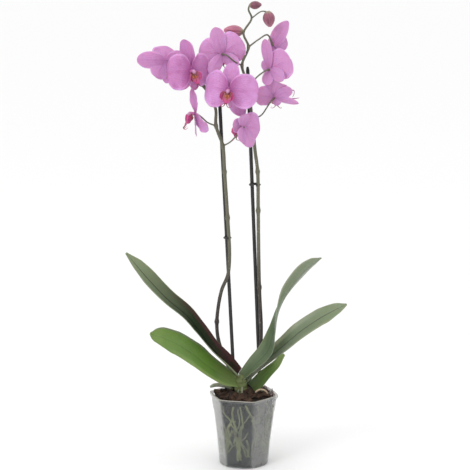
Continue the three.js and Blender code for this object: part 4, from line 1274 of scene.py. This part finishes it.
class ORCHID_OT_spikes(bpy.types.Operator):
    """Builds the two flower spikes with their joints, flower stalks and bracts"""

    bl_idname = "orchid.spikes"
    bl_label = "Flower Spikes"

    def execute(self, context):
        paint = stem_material()
        for name, shape in SPIKES.items():
            points, radii = tapered(shape["points"], shape["radii"], 12 * (len(shape["points"]) - 1))
            joints = list(shape["joints"]) + [route[0] for route in shape["stalks"].values()]
            strands = [(points, swell(points, radii, joints))]
            for flower, route in shape["stalks"].items():
                end = np.array(FLOWERS[flower]["at"]) + STARTS["stalk"] * face_axes(FLOWERS[flower])[2]
                stalk, sizes = tapered(route + [tuple(end)], [1.5, 1.15, 1.2, 1.35, 1.9], 12 * len(route))
                strands.append((stalk, sizes))
            if name == "spike_right":
                for bud, form in BUDS.items():
                    strands.append(self.bud_stalk(bud, form))
            piece = stem_piece(name + "_stem", strands, paint, 14, 0.0016, 0.12)
            finish_piece(piece, "spike", name)
            self.bracts(name, joints, points, radii, paint)
        return {"FINISHED"}

    def bud_stalk(self, name, form):
        """A thin stalk from the spike to the foot of a bud."""
        low, high = (np.array(corner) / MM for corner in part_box(name))
        end = (low + high) / 2 - unit(np.array(form["toward"], dtype=float)) * (form["length"] / 2 - 1.5)
        route = [form["from"]] + ([form["over"]] if "over" in form else []) + [tuple(end)]
        return tapered(route, [1.15, 1.0, 1.3], 12 * (len(route) - 1) + 6)

    def bracts(self, name, joints, points, radii, paint):
        """Small dry scales that clasp the stem at its joints."""
        skin = Skin()
        for joint in joints:
            nearest = int(np.argmin(np.linalg.norm(points - np.array(joint, dtype=float), axis=1)))
            along = unit(points[min(nearest + 2, len(points) - 1)] - points[max(nearest - 2, 0)])
            side = unit(np.cross(along, (0.3, -1, 0.1)))
            front = np.cross(side, along)
            room = radii[nearest] + 0.1
            centres, halves = [], []
            for k in range(BRACT_ROWS + 1):
                out = front * room + along * (k * BRACT_STEP - BRACT_DROP) + front * (BRACT_FLARE * k * k)
                centres.append(np.array(joint) + out)
                halves.append(room * math.sqrt(max(0.02, 1 - (k / BRACT_ROWS) ** 2)))
            count = len(centres)
            rings, across, under = blade_rings(
                np.array(centres), [side] * count, [front] * count, halves,
                lambda row, spread: -BRACT_CLASP * spread ** 2,
                lambda row, spread: BRACT_THICK + 0 * spread, 6)
            along_values = np.repeat(np.linspace(0, 1, count)[:, None], rings.shape[1], axis=1)
            skin.add_rings(rings, {"across": across, "along": along_values, "under": under})
        finish_piece(skin.build(name + "_bracts", paint), "spike")


# A stake's points, and its ends' radius as a share of its own.
STAKE_ROWS, STAKE_END = 120, 0.55


class ORCHID_OT_stakes(bpy.types.Operator):
    """Builds the two dark stakes"""

    bl_idname = "orchid.stakes"
    bl_label = "Stakes"

    def execute(self, context):
        settings = context.scene.orchid_stems
        paint = plastic_material("Stake_coat", tuple(settings.stake_colour), 0.42, 0.4)
        for name in ("stake_left", "stake_right"):
            low, high = (np.array(corner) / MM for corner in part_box(name))
            radius = settings.stake_width / MM / 2
            foot = np.array((high[0] - radius, self.depth(low, high, radius, name, 0), low[2]))
            top = np.array((low[0] + radius, self.depth(low, high, radius, name, 1), high[2]))
            places = np.array([foot + (top - foot) * part for part in np.linspace(0, 1, STAKE_ROWS)])
            sizes = np.full(STAKE_ROWS, radius)
            sizes[[0, -1]] = radius * STAKE_END
            piece = stem_piece(name + "_rod", [(places, sizes)], paint, 20, 0.003, 0.03)
            finish_piece(piece, "stake", name)
        return {"FINISHED"}

    def depth(self, low, high, radius, name, end):
        """How far back an end is: the left stake leans back towards its top, the right one forward."""
        far, near = high[1] - radius, low[1] + radius
        leans_back = name == "stake_left"
        return far if (end == 1) == leans_back else near


# A clip: how far inside its box its band runs, the band's half thickness, its rows and its sides.
CLIP_INSET, CLIP_BAND, CLIP_ROWS, CLIP_SIDES = 0.8, 0.75, 40, 16


def clip_skin(low, high):
    """A clip: a short split ring with two flat tabs, inside the given box."""
    centre, size = (low + high) / 2, high - low
    skin = Skin()
    reach, depth = size[0] / 2 - CLIP_INSET, size[1] / 2 - CLIP_INSET
    path = []
    for k in range(CLIP_ROWS + 1):
        angle = 2 * math.pi * (0.03 + 0.94 * k / CLIP_ROWS) - math.pi / 2
        path.append(centre + (reach * math.cos(angle), depth * math.sin(angle), 0))
    half = size[2] / 2
    rings = []
    for point in path:
        out = unit((point - centre) * (1, 1, 0))
        section = []
        for k in range(CLIP_SIDES):
            angle = 2 * math.pi * k / CLIP_SIDES
            bulge = np.sign(math.sin(angle)) * abs(math.sin(angle)) ** 0.5
            section.append(point + out * CLIP_BAND * math.cos(angle) + np.array((0, 0, half * 0.62 * bulge)))
        rings.append(section)
    skin.add_rings(rings, {})
    for sign in (-1, 1):
        tab = []
        for part in np.linspace(0, 1, 6):
            place = centre + (sign * (reach - 0.5 + 2.2 * part), -depth * 0.2, 0)
            tab.append([place + (0, 0.8 * math.cos(a), half * (0.5 - 0.2 * part) * math.sin(a))
                        for a in np.linspace(0, 2 * math.pi, 13)[:-1]])
        skin.add_rings(tab, {})
    return skin


class ORCHID_OT_clips(bpy.types.Operator):
    """Builds the clips that hold the spikes to their stakes"""

    bl_idname = "orchid.clips"
    bl_label = "Clips"

    def execute(self, context):
        paint = plastic_material("Clip_plastic", (0.018, 0.017, 0.018), 0.35, 0.3)
        for name in ("clip_left", "clip_right", "clip_top"):
            low, high = (np.array(corner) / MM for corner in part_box(name))
            finish_piece(clip_skin(low, high).build(name + "_ring", paint), "clip", name)
        return {"FINISHED"}


def bud_skin(at, toward, length, radius):
    """A pointed bud: folded sepals show as ribs with three deeper seams."""
    toward = unit(np.array(toward, dtype=float))
    side = unit(np.cross(toward, (0, 1, 0.2)))
    across = np.cross(toward, side)
    rings, along_values, turn_values = [], [], []
    rows, sides = 36, 48
    for row in range(rows + 1):
        part = row / rows
        swell_out = math.sin(math.pi * min(1, part * 0.93 + 0.035)) ** 0.62 * (1.05 - 0.22 * part)
        ring = []
        for k in range(sides):
            angle = 2 * math.pi * k / sides
            rib = 0.045 * math.cos(9 * angle) - 0.16 * math.exp(-((math.sin(1.5 * angle + 0.6)) / 0.1) ** 2)
            size = radius * swell_out * (1 + rib * math.sin(math.pi * part) ** 0.5)
            squash = 1.0 - 0.04 * math.cos(2 * angle)
            centre = at + toward * length * (part - 0.5) + across * 1.4 * math.sin(math.pi * part)
            ring.append(centre + size * squash * (math.cos(angle) * side + math.sin(angle) * across))
        rings.append(ring)
        along_values.append([part] * sides)
        turn_values.append([abs(k / sides - 0.5) * 2 for k in range(sides)])
    skin = Skin()
    skin.add_rings(rings, {"along": along_values, "turn": turn_values})
    return skin


class ORCHID_OT_buds(bpy.types.Operator):
    """Builds the closed and opening buds"""

    bl_idname = "orchid.buds"
    bl_label = "Buds"

    def execute(self, context):
        skin_colour = context.scene.orchid_flowers.bud_colour
        for name, form in BUDS.items():
            paint = bud_material(name.title() + "_skin", [BUD_TINT[name] * c for c in skin_colour])
            low, high = (np.array(corner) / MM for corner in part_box(name))
            skin = bud_skin((low + high) / 2, form["toward"], form["length"], form["radius"])
            finish_piece(skin.build(name + "_folds", paint), "bud", name)
        return {"FINISHED"}


# ---------------------------------------------------------------- flowers


def turned(vector, axis, degrees):
    """The vector turned round an axis."""
    return np.array(Matrix.Rotation(math.radians(degrees), 3, Vector(axis)) @ Vector(vector))


def face_axes(flower):
    """The flower's own axes: right and up across its face, and out of its face."""
    yaw, pitch = math.radians(flower["yaw"]), math.radians(flower["pitch"])
    out = np.array((math.sin(yaw) * math.cos(pitch), -math.cos(yaw) * math.cos(pitch), math.sin(pitch)))
    up = unit(np.array((0, 0, 1.0)) - out * out[2])
    up = turned(up, out, flower["roll"])
    return np.cross(up, out), up, out


def tepal_width(places, claw, fullness, widest):
    """Half width along a tepal, from a narrow claw through an oval to a round tip."""
    reach = np.where(places < widest, widest - 0.02, 1.0 - widest)
    oval = np.clip(1 - np.abs((places - widest) / reach) ** fullness, 0, 1) ** (1 / fullness)
    return np.maximum(claw * (1 - places) ** 0.5, oval)


# Rows and columns of a tepal, and its outline: how full it is, where it is widest and its claw's width.
TEPAL_MESH = {"petal": (34, 22), "sepal": (30, 16)}
TEPAL_OUTLINE = {"petal": (2.1, 0.52, 0.2), "sepal": (1.9, 0.56, 0.3)}


def tepal(skin, flower, shape, start, rng, kind):
    """Adds one sepal or petal to the skin."""
    right, up, out = face_axes(flower)
    form = {**PLAIN, **shape}
    rows, columns = TEPAL_MESH[kind]
    places = 0.5 - 0.5 * np.cos(np.linspace(0, math.pi, rows + 1))
    centre = np.array(flower["at"], dtype=float) + out * start
    centres, normals, acrosses = [], [], []
    previous = 0.0
    for place in places:
        heading = math.radians(form["turn"] + form["sway"] * place)
        away = right * math.cos(heading) + up * math.sin(heading)
        bend = math.radians(form["lift"] + form["curl"] * place)
        along = away * math.cos(bend) + out * math.sin(bend)
        centre = centre + along * form["length"] * (place - previous)
        previous = place
        normal = turned(out * math.cos(bend) - away * math.sin(bend), along, form["roll"] * place)
        centres.append(centre)
        normals.append(normal)
        acrosses.append(np.cross(along, normal))
    fullness, widest, claw = TEPAL_OUTLINE[kind]
    halves = form["half"] * tepal_width(places, claw, fullness, widest) * (1 - form["taper"] * places)
    halves = np.maximum(halves, 0.3)
    phase, sway = rng.uniform(0, 6.28), rng.uniform(-0.05, 0.05)
    ruffle = rng.uniform(0.055, 0.09) * (1.0 if kind == "petal" else 0.7)

    def rise(row, spread):
        half, place = halves[row], places[row]
        broad, fine = phase + 9 * place + 2.5 * spread, 2.1 * phase + 19 * place - 3 * spread
        waves = np.sin(broad) + 0.5 * np.sin(fine)
        edge = ruffle * form["half"] * np.abs(spread) ** 2.6 * waves * float(smooth(0.1, 0.5, place))
        crease = -0.5 * np.exp(-(spread / 0.1) ** 2) * (1 - 0.6 * place)
        return form["cup"] * half * spread ** 2 + edge + crease + sway * half * spread

    def thick(row, spread):
        return (1.1 - 0.5 * places[row]) * (1 - 0.72 * spread ** 2)

    rings, across, under = blade_rings(np.array(centres), acrosses, normals, halves, rise, thick, columns)
    along_values = np.repeat(places[:, None], rings.shape[1], axis=1)
    depth = np.full(across.shape, flower.get("depth", 0.0))
    skin.add_rings(rings, {"across": across, "along": along_values, "under": under, "depth": depth})


# Rows and columns of a lobe of the lip, and the lobes: turn around the face, length, half width,
# lift, curl, cup and how far below the flower's middle they start.
LOBE_MESH = (22, 14)
LIP_LOBES = [(-90, 24, 7.0, 32, 6, 0.25, 0.0), (-16, 17, 8.0, 30, 24, 0.3, 6),
             (-164, 17, 8.0, 30, 24, 0.3, 6)]


def lobe(skin, flower, turn, length, half, lift, curl, cup, drop):
    """Adds one lobe of the lip to the skin."""
    right, up, out = face_axes(flower)
    rows, columns = LOBE_MESH
    places = np.linspace(0, 1, rows + 1)
    angle = math.radians(turn)
    away = right * math.cos(angle) + up * math.sin(angle)
    centre = np.array(flower["at"], dtype=float) + out * STARTS["lip"] - up * drop
    centres, normals, acrosses = [], [], []
    for row, place in enumerate(places):
        bend = math.radians(lift + curl * place)
        along = away * math.cos(bend) + out * math.sin(bend)
        if row:
            centre = centre + along * length / rows
        normal = out * math.cos(bend) - away * math.sin(bend)
        centres.append(centre)
        normals.append(normal)
        acrosses.append(np.cross(along, normal))
    halves = np.maximum(half * tepal_width(places, 0.35, 2.0, 0.6), 0.25)
    rings, across, _ = blade_rings(
        np.array(centres), acrosses, normals, halves,
        lambda row, spread: cup * halves[row] * spread ** 2 + 0.35 * np.sin(7 * spread + 9 * places[row]),
        lambda row, spread: 1.0 * (1 - 0.7 * spread ** 2), columns)
    along_values = np.repeat(places[:, None], rings.shape[1], axis=1)
    skin.add_rings(rings, {"across": across, "along": along_values, "crest": np.zeros(across.shape)})


TUBE_ROWS = 24


def local_tube(skin, flower, points, radii, sides, crest=0.0):
    """Adds a round part given in the flower's own axes: right, up and out."""
    right, up, out = face_axes(flower)
    shares = np.linspace(0, 1, TUBE_ROWS + 1)
    places = curve_points(points, TUBE_ROWS)
    world = np.array(flower["at"], dtype=float) + places @ np.array([right, up, out])
    sizes = np.interp(shares, np.linspace(0, 1, len(radii)), radii)
    rings = np.array(tube_rings(world, sizes, sides))
    along_values = np.repeat(shares[:, None], sides, axis=1)
    zeros = np.zeros(along_values.shape)
    skin.add_rings(rings, {"across": zeros, "along": along_values, "crest": zeros + crest})


def lip_skin(flower):
    """The lip: a tapering middle lobe with two whiskers, two side lobes and the warty crest."""
    skin = Skin()
    for form in LIP_LOBES:
        lobe(skin, flower, *form)
    for sign in (-1, 1):
        whisker = [(sign * 1.2, -18.5, 16.5), (sign * 3.0, -22.5, 19.5), (sign * 6.5, -24.5, 18.0),
                   (sign * 9.0, -22.5, 14.5), (sign * 7.5, -20.0, 13.0)]
        local_tube(skin, flower, whisker, [1.0, 0.6, 0.45, 0.35, 0.15], 8)
        crest = [(sign * 2.2, -5.5, 6.6), (sign * 2.6, -8.0, 9.6), (sign * 1.8, -11.0, 10.8)]
        local_tube(skin, flower, crest, [0.6, 2.3, 2.1, 0.5], 12, 1.0)
    local_tube(skin, flower, [(0, -10.0, 9.6), (0, -12.5, 11.6), (0, -15.0, 12.4)], [0.7, 1.7, 0.5], 10, 1.0)
    return skin


def column_skin(flower):
    """The column that arches over the lip, with its rounded cap."""
    skin = Skin()
    local_tube(skin, flower, [(0, 0, 1.6), (0, 1.4, 5.5), (0, 0.8, 9.0), (0, -2.0, 12.2)],
               [3.0, 2.4, 2.4, 2.8, 3.2, 2.8, 1.2], 20)
    return skin


class ORCHID_OT_flowers(bpy.types.Operator):
    """Builds every open flower: sepals behind, petals in front, then lip and column"""

    bl_idname = "orchid.flowers"
    bl_label = "Flowers"

    def execute(self, context):
        settings = context.scene.orchid_flowers
        main, heart, back = settings.petal_colour, settings.heart_colour, settings.back_colour
        petal_paint = petal_material("Petal_tissue", main, heart, back, 9.0)
        sepal_paint = petal_material("Sepal_tissue", [0.94 * c for c in main], heart, back, 5.0)
        lip_paint, column_paint = lip_material(), column_material()
        for index, (name, flower) in enumerate(FLOWERS.items()):
            rng = random.Random(SEED + 31 * index)
            flower = {**flower, "depth": FLOWER_DEPTH.get(name, 0.0)}
            sepals, petals = Skin(), Skin()
            for shape in (flower["dorsal"], *flower["sepals"]):
                tepal(sepals, flower, shape, STARTS["sepals"], rng, "sepal")
            for shape in flower["petals"]:
                tepal(petals, flower, shape, STARTS["petals"], rng, "petal")
            finish_piece(sepals.build(name + "_sepal_set", sepal_paint), "sepal", name + "_sepals")
            finish_piece(petals.build(name + "_petal_pair", petal_paint), "petal", name + "_petals")
            finish_piece(lip_skin(flower).build(name + "_lip_lobes", lip_paint), "lip", name + "_lip")
            finish_piece(column_skin(flower).build(name + "_column", column_paint), "lip")
        strands = [tapered(points, [0.9, 0.8, 0.35], 24) for points in TENDRILS]
        finish_piece(stem_piece("tendrils", strands, sepal_paint, 8, 0.001, 0.1), "sepal")
        return {"FINISHED"}


# ---------------------------------------------------------------- stage

# Metres and degrees.
CAMERA_AT, CAMERA_DOWN = (-0.0149, -2.6, 0.83), 9.6
SENSOR_WIDTH, VIEW_LIMIT = 36.0, 200.0
KEY_AT, KEY_AIM, KEY_SIZE = (-1.5, -1.9, 2.2), (0, 0, 0.35), 1.2
FLOOR_LEVEL = -0.0002


def area_light(name, at, aim, size, power):
    """A round soft light that looks at the point it is aimed at."""
    light = bpy.data.lights.new(name, "AREA")
    light.shape = "DISK"
    light.size = size
    light.energy = power
    lamp = bpy.data.objects.new(name, light)
    lamp.location = at
    lamp.rotation_euler = (Vector(aim) - Vector(at)).to_track_quat("-Z", "Y").to_euler()
    bpy.context.scene.collection.objects.link(lamp)


class ORCHID_OT_stage(bpy.types.Operator):
    """Builds the pale floor, the soft lights and the camera"""

    bl_idname = "orchid.stage"
    bl_label = "Stage"

    def execute(self, context):
        scene = context.scene
        settings = scene.orchid_stage
        reach = settings.floor_size / 2
        mesh = bpy.data.meshes.new("floor")
        corners = [(x * reach, y * reach, FLOOR_LEVEL) for x, y in ((-1, -1), (1, -1), (1, 1), (-1, 1))]
        mesh.from_pydata(corners, [], [(0, 1, 2, 3)])
        floor = bpy.data.objects.new("floor", mesh)
        scene.collection.objects.link(floor)
        paint, _, shader = new_material("Floor_paint", 0.8)
        shader.inputs["Base Color"].default_value = (*settings.floor_colour, 1.0)
        mesh.materials.append(paint)
        world = bpy.data.worlds.new("Studio")
        world.use_nodes = True
        nodes = Nodes(world.node_tree)
        direction = nodes.add("ShaderNodeSeparateXYZ")
        nodes.put(direction.inputs[0], nodes.add("ShaderNodeTexCoord").outputs["Generated"])
        rise = nodes.math("MAXIMUM", direction.outputs["Z"], 0.0)
        glow = nodes.math("MULTIPLY_ADD", rise, settings.zenith_strength, settings.sky_strength)
        nodes.put(world.node_tree.nodes["Background"].inputs["Strength"], glow)
        world.node_tree.nodes["Background"].inputs["Color"].default_value = (1, 1, 1, 1)
        scene.world = world
        area_light("key_light", KEY_AT, KEY_AIM, KEY_SIZE, settings.key_power)
        camera_data = bpy.data.cameras.new("camera")
        camera_data.lens = settings.lens
        camera_data.sensor_width = SENSOR_WIDTH
        camera_data.clip_end = VIEW_LIMIT
        camera = bpy.data.objects.new("camera", camera_data)
        camera.location = CAMERA_AT
        camera.rotation_euler = (math.radians(90 - CAMERA_DOWN), 0, 0)
        scene.collection.objects.link(camera)
        scene.camera = camera
        scene.view_settings.view_transform = "Standard"
        return {"FINISHED"}


# ---------------------------------------------------------------- settings, panel and registration


def colour_setting(name, description, default):
    """A colour that a user may change."""
    return bpy.props.FloatVectorProperty(name=name, description=description, default=default, size=3, min=0,
                                         max=1, subtype="COLOR")


class OrchidPotSettings(bpy.types.PropertyGroup):
    """Sizes and colours of the pot and its bark"""

    wall: bpy.props.FloatProperty(name="Wall", description="Thickness of the pot's wall", default=0.0013,
                                  min=0.0005, unit="LENGTH")
    mist: bpy.props.FloatProperty(name="Mist", description="How much the wall hides what is behind it",
                                  default=0.27, min=0, max=1, subtype="FACTOR")
    colour: colour_setting("Plastic", "Colour of the smoky plastic", (0.22, 0.23, 0.235))
    frost_colour: colour_setting("Frost", "Colour of the frosted facets", (0.46, 0.465, 0.45))
    rim_colour: colour_setting("Rim", "Colour of the cut rim", (0.46, 0.43, 0.37))
    bark_light: colour_setting("Bark", "Colour of fresh bark faces", (0.095, 0.05, 0.03))
    bark_dark: colour_setting("Damp Bark", "Colour of damp bark faces", (0.016, 0.011, 0.008))


class OrchidLeafSettings(bpy.types.PropertyGroup):
    """The leaves and the crown"""

    thickness: bpy.props.FloatProperty(name="Thickness", description="Thickness of a leaf near its base",
                                       default=0.0026, min=0.0008, unit="LENGTH")
    crown_colour: colour_setting("Crown", "Colour of the short stem", (0.12, 0.15, 0.05))


class OrchidStemSettings(bpy.types.PropertyGroup):
    """Spikes, roots and stakes"""

    colour: colour_setting("Spike", "Colour of the upper flower spikes", (0.13, 0.127, 0.085))
    low_colour: colour_setting("Spike Foot", "Colour of the spikes low down", (0.03, 0.02, 0.02))
    root_colour: colour_setting("Roots", "Colour of dry aerial roots", (0.3, 0.32, 0.23))
    stake_colour: colour_setting("Stakes", "Colour of the stakes", (0.014, 0.013, 0.013))
    stake_width: bpy.props.FloatProperty(name="Stake Width", description="Thickness of a stake",
                                         default=0.006, min=0.002, unit="LENGTH")


class OrchidFlowerSettings(bpy.types.PropertyGroup):
    """Flowers and buds"""

    petal_colour: colour_setting("Petals", "Main colour of petals and sepals", (0.66, 0.325, 0.65))
    heart_colour: colour_setting("Heart", "Colour towards the middle and along the veins", (0.42, 0.1, 0.33))
    back_colour: colour_setting("Backs", "Colour of the backs of petals and sepals", (0.62, 0.32, 0.58))
    lip_colour: colour_setting("Lip", "Colour of the lip's ends", (0.5, 0.05, 0.22))
    lip_dark: colour_setting("Throat", "Colour of the lip's throat", (0.2, 0.01, 0.05))
    bud_colour: colour_setting("Buds", "Colour of the buds", (0.29, 0.085, 0.14))


class OrchidStageSettings(bpy.types.PropertyGroup):
    """Floor, lights and camera"""

    floor_size: bpy.props.FloatProperty(name="Floor Size", description="Width of the floor", default=120.0,
                                        min=1.0, unit="LENGTH")
    floor_colour: colour_setting("Floor", "Colour of the floor", (0.86, 0.86, 0.86))
    sky_strength: bpy.props.FloatProperty(name="Sky Strength", default=0.35, min=0,
                                          description="Strength of the sky at the horizon")
    zenith_strength: bpy.props.FloatProperty(name="Zenith Strength", default=1.2, min=0,
                                             description="Strength added straight above")
    key_power: bpy.props.FloatProperty(name="Key Power", description="Power of the main light in watts",
                                       default=22.0, min=0)
    lens: bpy.props.FloatProperty(name="Lens", description="Focal length in millimetres", default=121.9,
                                  min=1)


STEPS = (ORCHID_OT_pot, ORCHID_OT_bark, ORCHID_OT_roots, ORCHID_OT_crown, ORCHID_OT_leaves, ORCHID_OT_spikes,
         ORCHID_OT_stakes, ORCHID_OT_clips, ORCHID_OT_buds, ORCHID_OT_flowers, ORCHID_OT_stage)


class ORCHID_PT_panel(bpy.types.Panel):
    """Lists the orchid's settings and building steps"""

    bl_idname = "ORCHID_PT_panel"
    bl_label = "Potted Orchid"
    bl_space_type = "VIEW_3D"
    bl_region_type = "UI"
    bl_category = "Orchid"

    def draw(self, context):
        for step in STEPS:
            self.layout.operator(step.bl_idname)
        for key in SETTINGS:
            box = self.layout.box()
            for field in getattr(context.scene, key).bl_rna.properties:
                if field.identifier not in {"rna_type", "name"}:
                    box.prop(getattr(context.scene, key), field.identifier)


SETTINGS = {"orchid_pot": OrchidPotSettings, "orchid_leaves": OrchidLeafSettings,
            "orchid_stems": OrchidStemSettings, "orchid_flowers": OrchidFlowerSettings,
            "orchid_stage": OrchidStageSettings}


def register():
    for kind in (*SETTINGS.values(), *STEPS, ORCHID_PT_panel):
        bpy.utils.register_class(kind)
    for key, kind in SETTINGS.items():
        setattr(bpy.types.Scene, key, bpy.props.PointerProperty(type=kind))


def unregister():
    for key in SETTINGS:
        delattr(bpy.types.Scene, key)
    for kind in (ORCHID_PT_panel, *reversed(STEPS), *reversed(tuple(SETTINGS.values()))):
        bpy.utils.unregister_class(kind)


def main():
    """Builds the whole orchid, piece by piece."""
    register()
    bpy.ops.orchid.pot()
    bpy.ops.orchid.bark()
    bpy.ops.orchid.roots()
    bpy.ops.orchid.crown()
    bpy.ops.orchid.leaves()
    bpy.ops.orchid.spikes()
    bpy.ops.orchid.stakes()
    bpy.ops.orchid.clips()
    bpy.ops.orchid.buds()
    bpy.ops.orchid.flowers()
    bpy.ops.orchid.stage()
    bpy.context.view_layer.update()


if __name__ == "__main__":
    main()
